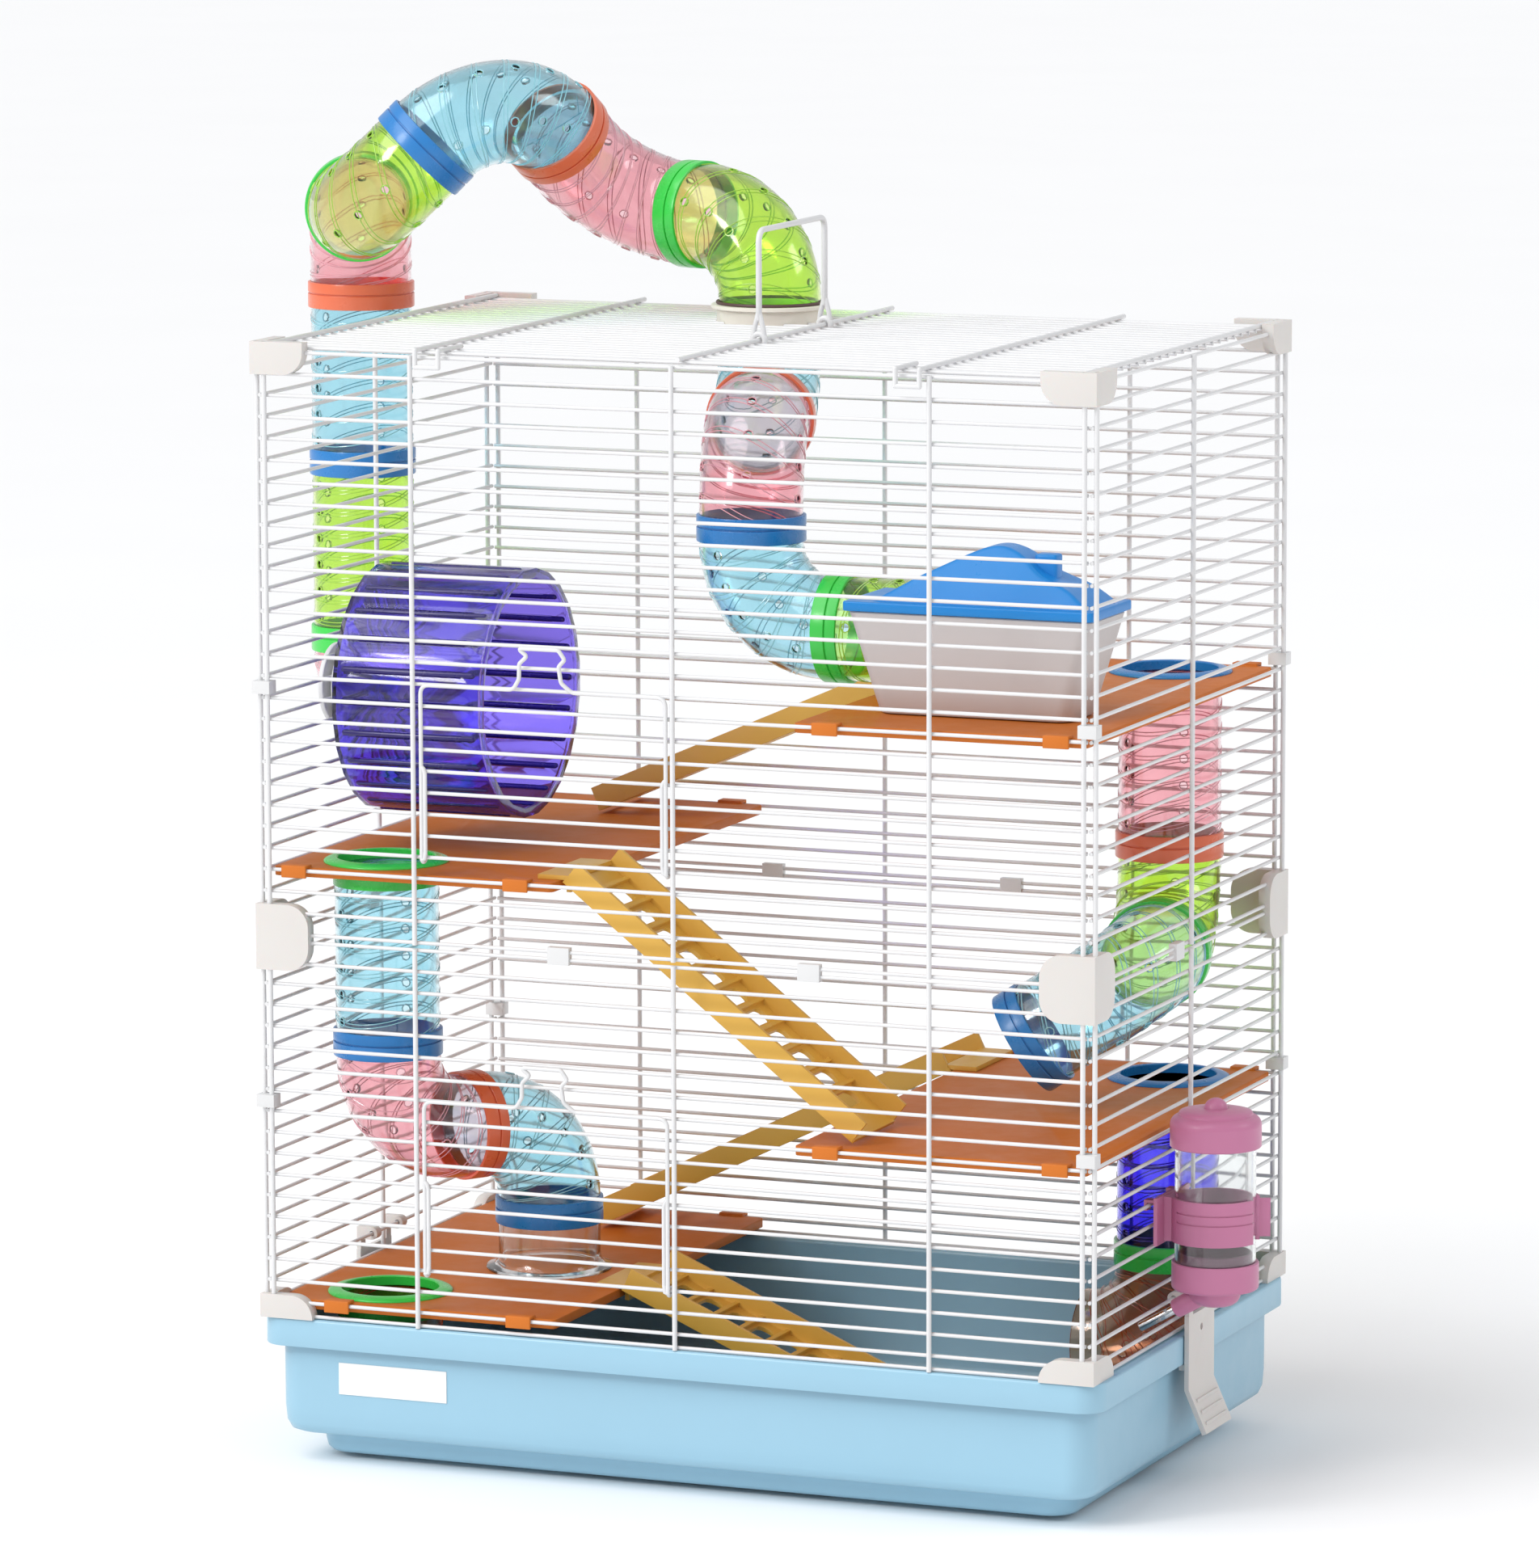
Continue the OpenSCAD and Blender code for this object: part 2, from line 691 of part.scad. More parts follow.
// ---------- ramps ----------
// Ramp from (x0, z0) at a shelf edge down to (x1, z1), near side at y0
module ramp(x0, z0, x1, z1, y0) {
  way = sign(x1 - x0);
  run = norm([x1 - x0, z1 - z0]);
  a = atan2(z0 - z1, abs(x1 - x0));
  n = floor((run - 14) / rung_pitch);
  hole_l = rung_pitch - 6;
  hole_r = 4;
  color(mustard) translate([x0, y0, z0]) mirror([way < 0 ? 1 : 0, 0, 0]) {
    // tongue on the shelf and lip against its edge
    translate([-13, 1, 0.1]) cube([18, ramp_w - 2, ramp_t]);
    translate([1, 6, -7]) cube([2.4, ramp_w - 12, 8]);
    rotate([0, a, 0]) difference() {
      union() {
        translate([1.5, 0.3, 0]) cube([run - 1.5, ramp_w - 0.6, ramp_t]);
        for (y = [0, ramp_w - ramp_t])
          translate([2, y, 0.2]) cube([run - 2.6, ramp_t, rail_h]);
        for (i = [1 : n])
          translate([rung_pitch * i - 2, ramp_t - 0.2, ramp_t - 0.1])
            cube([2.2, ramp_w - 2 * ramp_t + 0.4, 2.4]);
      }
      for (i = [1 : n])
        translate([rung_pitch * i + 7, ramp_w / 2, -1]) linear_extrude(5)
          round_rect(hole_l, ramp_w - 22, hole_r);
    }
  }
}

module ramp_a() {
  ramp(-shelf_x, shelf_a_z, 95, shelf_c_z + 1.4, -134);
}

module ramp_b() {
  ramp(shelf_x, shelf_b_z, -138, shelf_a_z + 1.4, 82);
}

module ramp_c() {
  ramp(shelf_x, shelf_c_z, -140, shelf_d_z + 1.4, 84);
}

module ramp_d() {
  ramp(-shelf_x, shelf_d_z, 122, foot_h + tray_t + 1.4, -60);
}

// ---------- wheel ----------
wheel_n = 24;
module wheel_outline(r) {
  polygon([for (i = [0 : wheel_n - 1]) r * [cos((i + 0.5) * 360 / wheel_n), sin((i + 0.5) * 360 / wheel_n)]]);
}

module wheel() {
  color([0.25, 0.15, 0.9, 0.7]) translate([wheel_x, wheel_y, wheel_z]) rotate([0, 90, 0])
    difference() {
      union() {
        linear_extrude(wheel_w) difference() {
          wheel_outline(wheel_r);
          wheel_outline(wheel_r - 1.8);
        }
        linear_extrude(1.8) wheel_outline(wheel_r - 0.5);
        translate([0, 0, wheel_w - 2]) linear_extrude(2) difference() {
          wheel_outline(wheel_r);
          wheel_outline(wheel_r - 5);
        }
        cylinder(r = 9, h = 9);
      }
      translate([0, 0, -1]) cylinder(r = axle_r + 0.05, h = 20);
      for (i = [0 : wheel_n - 1])
        rotate([0, 0, i * 360 / wheel_n]) {
          translate([wheel_r - 6, -1.8, 12]) cube([12, 3.6, wheel_w - 24]);
          translate([22, -1.3, -1]) cube([34, 2.6, 4]);
        }
    }
}

// Wall plates on each side of the wires, studs between the wires, and the axle
module wheel_mount() {
  r = 21.6;
  color([0.9, 0.89, 0.87]) translate([0, wheel_y, wheel_z]) rotate([0, 90, 0]) {
    translate([0, 0, -side_post_x - rod_r - 3]) cylinder(r = r, h = 2.8);
    translate([0, 0, -side_x + wire_r + 0.1]) cylinder(r = r, h = 3);
    translate([0, 0, -side_post_x - rod_r - 1]) cylinder(r = 4, h = 10);
    translate([0, 0, -side_x + wire_r + 0.1]) cylinder(r = 6, h = wheel_x + side_x - wire_r - 0.7);
    translate([0, 0, -side_x]) cylinder(r = axle_r, h = side_x + wheel_x + 9.8);
    translate([0, 0, wheel_x + 9.6]) cylinder(r = 5.2, h = 2.5);
  }
}

// ---------- house ----------
module slab_x(pts, y0, y1) {
  translate([0, y1, 0]) rotate([90, 0, 0]) linear_extrude(y1 - y0) polygon(pts);
}

module slab_y(pts, x0, x1) {
  translate([x0, 0, 0]) rotate([90, 0, 90]) linear_extrude(x1 - x0) polygon(pts);
}

// Tapered block: half sizes wb, db at the bottom and wt, dt at the top
module taper(wb, db, wt, dt, z0, z1) {
  intersection() {
    slab_x([[-wb, z0], [wb, z0], [wt, z1], [-wt, z1]], -dt - 5, dt + 5);
    slab_y([[-db, z0], [db, z0], [dt, z1], [-dt, z1]], -wt - 5, wt + 5);
  }
}

module house_base() {
  wt = house_w / 2;
  dt = house_d / 2;
  color([0.86, 0.84, 0.82]) translate([house_x, house_y, house_z]) difference() {
    taper(wt - house_in + 2, dt - 10, wt - 1.5, dt - 1.5, 0, house_h);
    taper(wt - house_in, dt - 12, wt - 3.5, dt - 3.5, house_t, house_h + 0.01);
    // round doorway at the back
    translate([-28, 10, 21]) rotate([-90, 0, 0]) cylinder(r = 17, h = 40);
  }
}

// Points of the roof's ridge line above the lid's underside, seen from the front
roof_line = [[-56, 4], [-31, 18], [-8, 29], [2, 33], [9.5, 34.5], [17, 33.2], [24, 29.5], [33, 21.5],
  [42, 17.5], [51, 14], [60, 7]];
function under_roof(drop, base) =
  concat([[-56, base]], [for (p = roof_line) p - [0, drop]], [[60, base]]);

module house_lid() {
  wt = house_w / 2;
  dt = house_d / 2;
  skin = 2.5;
  color([0.13, 0.55, 0.92]) translate([house_x, house_y, house_z + house_h + 0.35]) difference() {
    union() {
      taper(wt, dt, wt, dt, 0, 5);
      intersection() {
        taper(wt - 6, dt - 4, wt - 30, dt - 20, 3, 35);
        slab_x(under_roof(0, 3), -dt, dt);
      }
      // block beside the peak
      translate([27.5, -5, 12.5]) cube([12, 10, 18]);
    }
    intersection() {
      taper(wt - 6 - skin, dt - 4 - skin, wt - 30 - skin, dt - 20 - skin, -1, 34);
      slab_x(under_roof(skin, -0.5), -dt, dt);
    }
  }
}

// ---------- bottle ----------
module bottle_body() {
  color([0.85, 0.93, 0.95, 0.4]) translate([bottle_x, bottle_y, 0]) difference() {
    translate([0, 0, bottle_z0]) cylinder(r = bottle_r, h = bottle_z1 - bottle_z0);
    translate([0, 0, bottle_z0 - 1]) cylinder(r = bottle_r - 1.5, h = bottle_z1 - bottle_z0 + 2);
  }
}

module bottle_cap() {
  color([0.80, 0.45, 0.65]) translate([bottle_x, bottle_y, 0]) difference() {
    union() {
      translate([0, 0, 184.7]) cylinder(r = 23.4, h = 20);
      translate([0, 0, 204.6]) cylinder(r = 20.5, h = 2.6);
      translate([0, 0, 207]) cylinder(r = 7, h = 3);
      for (i = [0 : 23])
        rotate([0, 0, 15 * i]) translate([23.2, -1, 186]) cube([0.7, 2, 17]);
    }
    translate([0, 0, 184]) cylinder(r = bottle_r + fit, h = 8);
    translate([0, 0, 191]) cylinder(r = bottle_r - 1.5, h = 11);
  }
}

module bottle_nozzle() {
  color([0.80, 0.45, 0.65]) translate([bottle_x, bottle_y, 0]) difference() {
    union() {
      translate([0, 0, 109.5]) cylinder(r = 22.6, h = 15);
      translate([0, 0, 104.5]) cylinder(r = 14, h = 5.5);
      translate([0, 0, 101]) cylinder(r = 9.5, h = 4);
      translate([0, 0, spout_top]) rotate([0, -90 - spout_slope, 0]) cylinder(r = 5.2, h = 25);
    }
    translate([0, 0, bottle_z0 - 0.1]) cylinder(r = bottle_r + fit, h = 10);
    translate([0, 0, 112]) cylinder(r = bottle_r - 1.5, h = 8);
    translate([0, 0, spout_top]) rotate([0, -90 - spout_slope, 0])
      translate([0, 0, 3]) cylinder(r = spout_r + fit, h = 30);
  }
}

// Steel drinking tube that slopes down between two wires
module bottle_spout() {
  color([0.75, 0.76, 0.78]) translate([bottle_x, bottle_y, spout_top]) rotate([0, -90 - spout_slope, 0])
    difference() {
      translate([0, 0, 3.1]) cylinder(r = spout_r, h = 44);
      translate([0, 0, 3]) cylinder(r = spout_r - 0.7, h = 45);
    }
}

// Open band round the bottle, its back plate against the wires, and an ear at its free end
module bottle_holder() {
  z0 = 135.5;
  h = 23;
  x0 = side_post_x + rod_r + 0.1;
  color([0.80, 0.45, 0.65]) {
    difference() {
      union() {
        translate([bottle_x, bottle_y, z0]) cylinder(r = bottle_r + 1.9, h = h);
        translate([x0, bottle_y - 23, z0 - 1]) cube([2, 46, h + 2]);
        translate([x0, bottle_y - 12, z0]) cube([6, 24, h]);
        translate([bottle_x, bottle_y, z0 + 1.5]) rotate([0, 0, 24])
          translate([bottle_r + 0.5, 0, 0]) cube([7, 2, h - 3]);
      }
      translate([bottle_x, bottle_y, z0 - 1]) cylinder(r = bottle_r + fit, h = h + 2);
      // gap between the band's free ends
      translate([bottle_x, bottle_y, z0 - 1]) linear_extrude(h + 2)
        polygon([[0, 0], 40 * [cos(12), -sin(12)], 40 * [cos(22), sin(22)]]);
      // two grooves round the front
      for (z = [z0 + h / 2 - 0.6, z0 + h / 2 + 4.4])
        translate([bottle_x, bottle_y, z]) difference() {
          cylinder(r = bottle_r + 10, h = 0.8);
          translate([0, 0, -1]) cylinder(r = bottle_r + 1.4, h = 3);
          translate([-40, -40, -1]) cube([25, 80, 3]);
          translate([-40, 5, -1]) cube([80, 40, 3]);
        }
    }
    // hooks over a wire
    for (y = [bottle_y - 20, bottle_y + 14]) {
      translate([side_x - wire_r - 1.8, y, low_z[11] + wire_r + 0.1])
        cube([x0 - side_x + wire_r + 2, 6, 1.6]);
      translate([side_x - wire_r - 1.8, y, low_z[11] - 3]) cube([1.6, 6, 5]);
    }
  }
}

// ---------- tubes ----------
module top_flange() {
  color([0.93, 0.90, 0.82]) translate([top_hole[0], top_hole[1], hole_z]) difference() {
    union() {
      translate([0, 0, top_wire_z + wire_r + 0.1 - hole_z]) cylinder(r = 31.5, h = 2.6);
      translate([0, 0, -7]) cylinder(r = collar_r - 0.2, h = 13);
    }
    translate([0, 0, -8]) cylinder(r = tube_r + fit, h = 16);
  }
}

module wall_flange() {
  face = -side_post_x - rod_r - 2.7;
  plate = 2.6;
  color([0.93, 0.90, 0.82]) translate([0, riser[1], entry_z]) rotate([0, 90, 0]) difference() {
    union() {
      translate([0, 0, face]) cylinder(r = 33, h = plate);
      translate([0, 0, face]) cylinder(r = collar_r - 0.2, h = 12);
    }
    translate([0, 0, face - 1]) cylinder(r = tube_r + fit, h = 20);
    // room for the elbow, which starts to bend inside the flange
    translate([-1.25, 0, face - 1]) cylinder(r = tube_r + 0.95, h = plate + 1);
    translate([-0.45, 0, face + plate - 0.5]) cylinder(r = tube_r + 0.42, h = 5.8);
  }
}

// Clear end piece that stands on shelf D
module floor_funnel() {
  z = shelf_d_z + 0.1;
  color([0.85, 0.93, 0.95, 0.4]) translate([a_c2[0], a_c2[1], z]) {
    difference() {
      union() {
        cylinder(r = 34, h = 2);
        cylinder(r = tube_r, h = a_j2[2] - z - gap / 2);
      }
      translate([0, 0, -1]) cylinder(r = tube_r - tube_t, h = 60);
    }
  }
}

module pink_elbows_outer() {
  color(pink) {
    elbow([riser[0], riser[1], riser_z1], [riser[0], riser[1], entry_z], [riser[0] + leg, riser[1], entry_z]);
    elbow([riser[0], riser[1], riser_z3], out_c0, out_c0 + leg * turn_w);
    long_bend(out_j3, out_c3, out_c3 + leg * turn_u);
  }
}

module pink_elbows_inner() {
  color(pink) {
    elbow(in_c0 + leg * in_w, in_c1, in_j2);
    elbow([left_hole[0], left_hole[1], a_z], a_c1, a_c1 + leg * a_t);
  }
}

module green_elbows() {
  color(lime) {
    elbow(out_c0 + leg * turn_w, out_c1, out_j2);
    elbow(out_c3 + leg * turn_u, out_c4, [top_hole[0], top_hole[1], hole_z]);
    elbow([right_hole[0], right_hole[1], b_z], b_c1, b_c1 + leg * b_t);
  }
}

module sky_elbows_upper() {
  color(sky) {
    elbow([top_hole[0], top_hole[1], hole_z], in_c0, in_c0 + leg * in_w);
    elbow(in_j2, in_c2, in_j3);
  }
}

module sky_elbows_lower() {
  color(sky) {
    elbow(a_c1 + leg * a_t, a_c2, a_j2);
    elbow(b_c1 + leg * b_t, b_c2, b_end);
  }
}

module arch_tube() {
  color(sky) long_bend(out_j2, out_c2, out_j3);
}

module riser_lower() {
  color(lime) straight_tube([riser[0], riser[1], riser_z1], [riser[0], riser[1], riser_z2]);
}

module riser_upper() {
  color(sky) straight_tube([riser[0], riser[1], riser_z2], [riser[0], riser[1], riser_z3]);
}

module house_tube() {
  color(lime) straight_tube(in_j3, in_end);
}

// Top end of a tube that hangs from a shelf ring
under = 2.2;

module shelf_a_tube() {
  color(sky) straight_tube([left_hole[0], left_hole[1], shelf_a_z - under],
    [left_hole[0], left_hole[1], a_z]);
}

module shelf_b_tube() {
  color(pink) straight_tube([right_hole[0], right_hole[1], shelf_b_z - under],
    [right_hole[0], right_hole[1], b_z]);
}

module shelf_c_tube() {
  color([0.25, 0.15, 0.95, 0.6]) straight_tube([right_hole[0], right_hole[1], shelf_c_z - under],
    [right_hole[0], right_hole[1], c_z]);
}

module tray_elbow() {
  color(amber) elbow([right_hole[0], right_hole[1], c_z], c_c1, c_end);
}

module tray_stub() {
  color(amber) straight_tube([left_hole[0], left_hole[1], shelf_d_z - under],
    [left_hole[0], left_hole[1], stub_z]);
}

module blue_collars() {
  color(blue) {
    collar([riser[0], riser[1], riser_z2], [0, 0, 1]);
    collar(out_j2, out_d2, 1);
    collar(in_j2, [0, 0, 1]);
    collar([left_hole[0], left_hole[1], a_z], [0, 0, 1]);
    collar(a_j2, [0, 0, 1]);
    collar(b_end + 5 * unit(b_c2 - b_end), b_d);
  }
}

module orange_collars() {
  color(red) {
    collar([riser[0], riser[1], riser_z3], [0, 0, 1]);
    collar(out_j3, out_d3, -1);
    collar(in_c0 + leg * in_w, in_w);
    collar(a_c1 + leg * a_t, a_t);
    collar([right_hole[0], right_hole[1], b_z], [0, 0, 1]);
  }
}

module green_collars() {
  color(green) {
    collar([riser[0], riser[1], riser_z1], [0, 0, 1]);
    collar(out_c0 + leg * turn_w, turn_w);
    collar(out_c3 + leg * turn_u, turn_u, -1);
    collar(in_j3, [1, 0, 0]);
    collar(b_c1 + leg * b_t, b_t);
    collar([right_hole[0], right_hole[1], c_z], [0, 0, 1]);
  }
}

tray();
label_plate();
front_upper();
front_lower();
back_upper();
back_lower();
left_upper();
left_lower();
right_upper();
right_lower();
top_panel();
door_upper();
door_lower();
handle();
top_connectors();
mid_connectors();
base_connectors();
corner_clips();
joint_clips();
latch_left();
latch_right();
shelf_a();
shelf_b();
shelf_c();
shelf_d();
green_rings();
blue_rings();
ramp_a();
ramp_b();
ramp_c();
ramp_d();
wheel();
wheel_mount();
house_base();
house_lid();
bottle_body();
bottle_cap();
bottle_nozzle();
bottle_spout();
bottle_holder();
top_flange();
wall_flange();
floor_funnel();
pink_elbows_outer();
pink_elbows_inner();
green_elbows();
sky_elbows_upper();
sky_elbows_lower();
arch_tube();
riser_lower();
riser_upper();
house_tube();
shelf_a_tube();
shelf_b_tube();
shelf_c_tube();
tray_elbow();
tray_stub();
blue_collars();
orange_collars();
green_collars();
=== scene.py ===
import json
import math

import bmesh
import bpy
import numpy as np
from mathutils import Matrix, Vector


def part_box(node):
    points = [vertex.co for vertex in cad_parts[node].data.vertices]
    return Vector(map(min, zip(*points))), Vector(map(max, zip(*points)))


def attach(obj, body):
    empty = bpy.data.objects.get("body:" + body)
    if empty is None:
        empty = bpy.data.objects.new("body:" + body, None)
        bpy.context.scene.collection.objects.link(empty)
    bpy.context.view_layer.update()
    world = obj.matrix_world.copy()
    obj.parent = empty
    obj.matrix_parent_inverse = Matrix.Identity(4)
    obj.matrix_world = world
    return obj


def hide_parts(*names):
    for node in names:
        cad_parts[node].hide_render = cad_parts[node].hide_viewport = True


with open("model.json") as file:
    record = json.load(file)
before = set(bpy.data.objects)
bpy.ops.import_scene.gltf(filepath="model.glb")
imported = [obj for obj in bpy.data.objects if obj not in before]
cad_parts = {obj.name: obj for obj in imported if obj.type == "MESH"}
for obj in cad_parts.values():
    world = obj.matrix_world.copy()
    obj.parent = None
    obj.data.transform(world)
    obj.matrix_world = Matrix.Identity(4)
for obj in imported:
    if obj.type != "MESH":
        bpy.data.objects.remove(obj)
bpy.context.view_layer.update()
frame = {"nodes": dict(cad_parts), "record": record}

NODES = frame["nodes"]
RECORD = frame["record"]
BODY_OF = {n: b for b, members in RECORD["behaviour"]["bodies"].items() for n in members}
MM = 0.001
UP = np.array([0.0, 0.0, 1.0])


# ---------- materials ----------
def new_material(name):
    """A material with its Principled shader, node adder and link adder."""
    mat = bpy.data.materials.new(name)
    mat.use_nodes = True
    tree = mat.node_tree
    return mat, tree.nodes["Principled BSDF"], tree.nodes.new, tree.links.new


def noise(add, link, scale, detail=3.0, rough=0.5, stretch=None):
    """A noise texture in object space. stretch is a scale for each axis."""
    coords = add("ShaderNodeTexCoord")
    tex = add("ShaderNodeTexNoise")
    tex.inputs["Scale"].default_value = scale
    tex.inputs["Detail"].default_value = detail
    tex.inputs["Roughness"].default_value = rough
    source = coords.outputs["Object"]
    if stretch:
        mapping = add("ShaderNodeMapping")
        mapping.inputs["Scale"].default_value = stretch
        link(source, mapping.inputs["Vector"])
        source = mapping.outputs["Vector"]
    link(source, tex.inputs["Vector"])
    return tex.outputs["Fac"]


def ramp(add, link, source, stops):
    """A colour ramp over a 0 to 1 value. stops are (position, colour) pairs."""
    node = add("ShaderNodeValToRGB")
    while len(node.color_ramp.elements) < len(stops):
        node.color_ramp.elements.new(0.5)
    for element, (position, colour) in zip(node.color_ramp.elements, stops):
        element.position = position
        element.color = (*colour, 1.0)
    link(source, node.inputs["Fac"])
    return node.outputs["Color"]


def spread(add, link, source, low, high):
    """Maps the middle of a noise value to the range low to high."""
    node = add("ShaderNodeMapRange")
    node.inputs["From Min"].default_value = 0.3
    node.inputs["From Max"].default_value = 0.7
    node.inputs["To Min"].default_value = low
    node.inputs["To Max"].default_value = high
    link(source, node.inputs["Value"])
    return node.outputs["Result"]


def bump(add, link, source, height, strength=0.5):
    node = add("ShaderNodeBump")
    node.inputs["Strength"].default_value = strength
    node.inputs["Distance"].default_value = height
    link(source, node.inputs["Height"])
    return node.outputs["Normal"]


def shade(colour, factor):
    return tuple(min(1.0, c * factor) for c in colour)


def plastic(name, colour, rough=0.35, vary=0.06, grain=0.00004, grain_scale=2600.0, coat=0.0, sub=0.0,
            gloss=0.5):
    """Moulded plastic: faint flow marks in the colour, a fine moulded grain and uneven gloss."""
    mat, bsdf, add, link = new_material(name)
    flow = noise(add, link, 14.0, 4.0, 0.6)
    link(ramp(add, link, flow, [(0.3, shade(colour, 1 - vary)), (0.7, shade(colour, 1 + vary))]),
         bsdf.inputs["Base Color"])
    smears = noise(add, link, 60.0, 5.0, 0.65)
    link(spread(add, link, smears, rough - 0.06, rough + 0.08), bsdf.inputs["Roughness"])
    fine = noise(add, link, grain_scale, 2.0)
    link(bump(add, link, fine, grain), bsdf.inputs["Normal"])
    bsdf.inputs["IOR"].default_value = 1.5
    bsdf.inputs["Specular IOR Level"].default_value = gloss
    bsdf.inputs["Coat Weight"].default_value = coat
    bsdf.inputs["Coat Roughness"].default_value = 0.12
    if sub:
        bsdf.inputs["Subsurface Weight"].default_value = sub
        bsdf.inputs["Subsurface Scale"].default_value = 0.002
    return mat


def powder_coat(name, colour):
    """White powder coat on wire: an orange-peel skin over a slightly uneven white."""
    mat, bsdf, add, link = new_material(name)
    cloud = noise(add, link, 40.0, 3.0)
    link(ramp(add, link, cloud, [(0.3, shade(colour, 0.96)), (0.7, shade(colour, 1.03))]),
         bsdf.inputs["Base Color"])
    peel = noise(add, link, 1400.0, 2.0)
    link(bump(add, link, peel, 0.00003, 0.4), bsdf.inputs["Normal"])
    link(spread(add, link, cloud, 0.28, 0.4), bsdf.inputs["Roughness"])
    bsdf.inputs["Coat Weight"].default_value = 0.3
    bsdf.inputs["Coat Roughness"].default_value = 0.2
    return mat


def clear_plastic(name, tint, rough=0.04, ior=1.3, shadow=None):
    """See-through coloured plastic. Rays from lamps pass it and take on its colour."""
    mat, bsdf, add, link = new_material(name)
    streaks = noise(add, link, 30.0, 3.0)
    link(ramp(add, link, streaks, [(0.3, shade(tint, 0.97)), (0.7, shade(tint, 1.02))]),
         bsdf.inputs["Base Color"])
    ripple = noise(add, link, 90.0, 2.0)
    link(bump(add, link, ripple, 0.0001, 0.25), bsdf.inputs["Normal"])
    link(spread(add, link, streaks, rough * 0.6, rough * 1.6), bsdf.inputs["Roughness"])
    bsdf.inputs["Transmission Weight"].default_value = 1.0
    bsdf.inputs["IOR"].default_value = ior
    bsdf.inputs["Coat Weight"].default_value = 0.8
    bsdf.inputs["Coat Roughness"].default_value = 0.12
    bsdf.inputs["Coat IOR"].default_value = 1.6
    path = add("ShaderNodeLightPath")
    through = add("ShaderNodeBsdfTransparent")
    through.inputs["Color"].default_value = (*(shadow or shade(tint, 1.0)), 1.0)
    mix = add("ShaderNodeMixShader")
    link(path.outputs["Is Shadow Ray"], mix.inputs["Fac"])
    link(bsdf.outputs["BSDF"], mix.inputs[1])
    link(through.outputs["BSDF"], mix.inputs[2])
    link(mix.outputs["Shader"], mat.node_tree.nodes["Material Output"].inputs["Surface"])
    return mat


def steel(name):
    """Polished steel with fine drawn lines."""
    mat, bsdf, add, link = new_material(name)
    lines = noise(add, link, 900.0, 3.0, 0.5, (1.0, 1.0, 0.04))
    link(ramp(add, link, lines, [(0.3, (0.62, 0.63, 0.65)), (0.7, (0.78, 0.79, 0.8))]),
         bsdf.inputs["Base Color"])
    link(spread(add, link, lines, 0.12, 0.26), bsdf.inputs["Roughness"])
    link(bump(add, link, lines, 0.00002, 0.3), bsdf.inputs["Normal"])
    bsdf.inputs["Metallic"].default_value = 1.0
    return mat


TINT = {
    "pink": (0.97, 0.64, 0.68),
    "sky": (0.62, 0.88, 0.95),
    "green": (0.72, 0.94, 0.25),
    "indigo": (0.20, 0.16, 0.93),
    "amber": (0.93, 0.55, 0.36),
    "clear": (0.95, 0.97, 0.97),
}
M = {
    "tray": plastic("tray_blue", (0.315, 0.54, 0.68), 0.34, 0.012, 0.000004, 900.0, 0.1),
    "label": plastic("label_white", (0.9, 0.9, 0.89), 0.4, 0.01),
    "wire": powder_coat("wire_white", (0.73, 0.73, 0.735)),
    "off_white": plastic("connector_off_white", (0.67, 0.64, 0.61), 0.4, 0.015, sub=0.1),
    "clip": plastic("clip_white", (0.70, 0.70, 0.70), 0.35, 0.015),
    "shelf": plastic("shelf_orange", (0.60, 0.165, 0.02), 0.5, 0.04, 0.00003, 1200.0, gloss=0.25),
    "green": plastic("ring_green", (0.04, 0.62, 0.07), 0.28, 0.03, coat=0.3),
    "blue": plastic("ring_blue", (0.015, 0.19, 0.52), 0.28, 0.04, coat=0.15),
    "orange": plastic("ring_orange", (0.76, 0.15, 0.06), 0.3, 0.03, coat=0.3),
    "ramp": plastic("ramp_mustard", (0.74, 0.43, 0.07), 0.38, 0.03, 0.00003, 1500.0),
    "house": plastic("house_grey", (0.59, 0.57, 0.565), 0.45, 0.015),
    "lid": plastic("lid_blue", (0.01, 0.24, 0.66), 0.32, 0.03, coat=0.1, gloss=0.35),
    "mauve": plastic("bottle_mauve", (0.54, 0.18, 0.325), 0.35, 0.02, coat=0.1),
    # The bottle's mauve darkened to 0.3: painted shade for the dark ring seen through the clear body at the
    # nozzle.
    "shade_mauve": plastic("bottle_band_painted_shade", (0.16, 0.05, 0.10), 0.4, 0.04),
    "cream": plastic("flange_cream", (0.86, 0.82, 0.72), 0.35, 0.02),
    "seal": plastic("flange_seal", (0.10, 0.05, 0.05), 0.5, 0.05),
    "steel": steel("spout_steel"),
    "wheel": clear_plastic("wheel_indigo", (0.255, 0.185, 0.84), 0.06, 1.25, (0.35, 0.3, 0.95)),
    # Near-black indigo for the wheel's slots: painted shade, a shaded copy of the wheel's colour.
    "slot_shade": plastic("wheel_slot_painted_shade", (0.02, 0.01, 0.15), 0.25, 0.05, coat=0.3),
}
RIB = {
    "pink": (0.74, 0.34, 0.39),
    "sky": (0.26, 0.57, 0.65),
    "green": (0.34, 0.62, 0.06),
    "indigo": (0.03, 0.01, 0.30),
    "amber": (0.45, 0.10, 0.04),
}
for tone, colour in RIB.items():
    M["rib_" + tone] = plastic("rib_" + tone, colour, 0.16, 0.05, 0.00001, 900.0, 0.6)
for tone, tint in TINT.items():
    M["tube_" + tone] = clear_plastic("tube_" + tone, tint)


# ---------- mesh tools ----------
def new_mesh(name, verts, faces):
    mesh = bpy.data.meshes.new(name)
    mesh.from_pydata([tuple(map(float, v)) for v in verts], [], [tuple(map(int, f)) for f in faces])
    return mesh


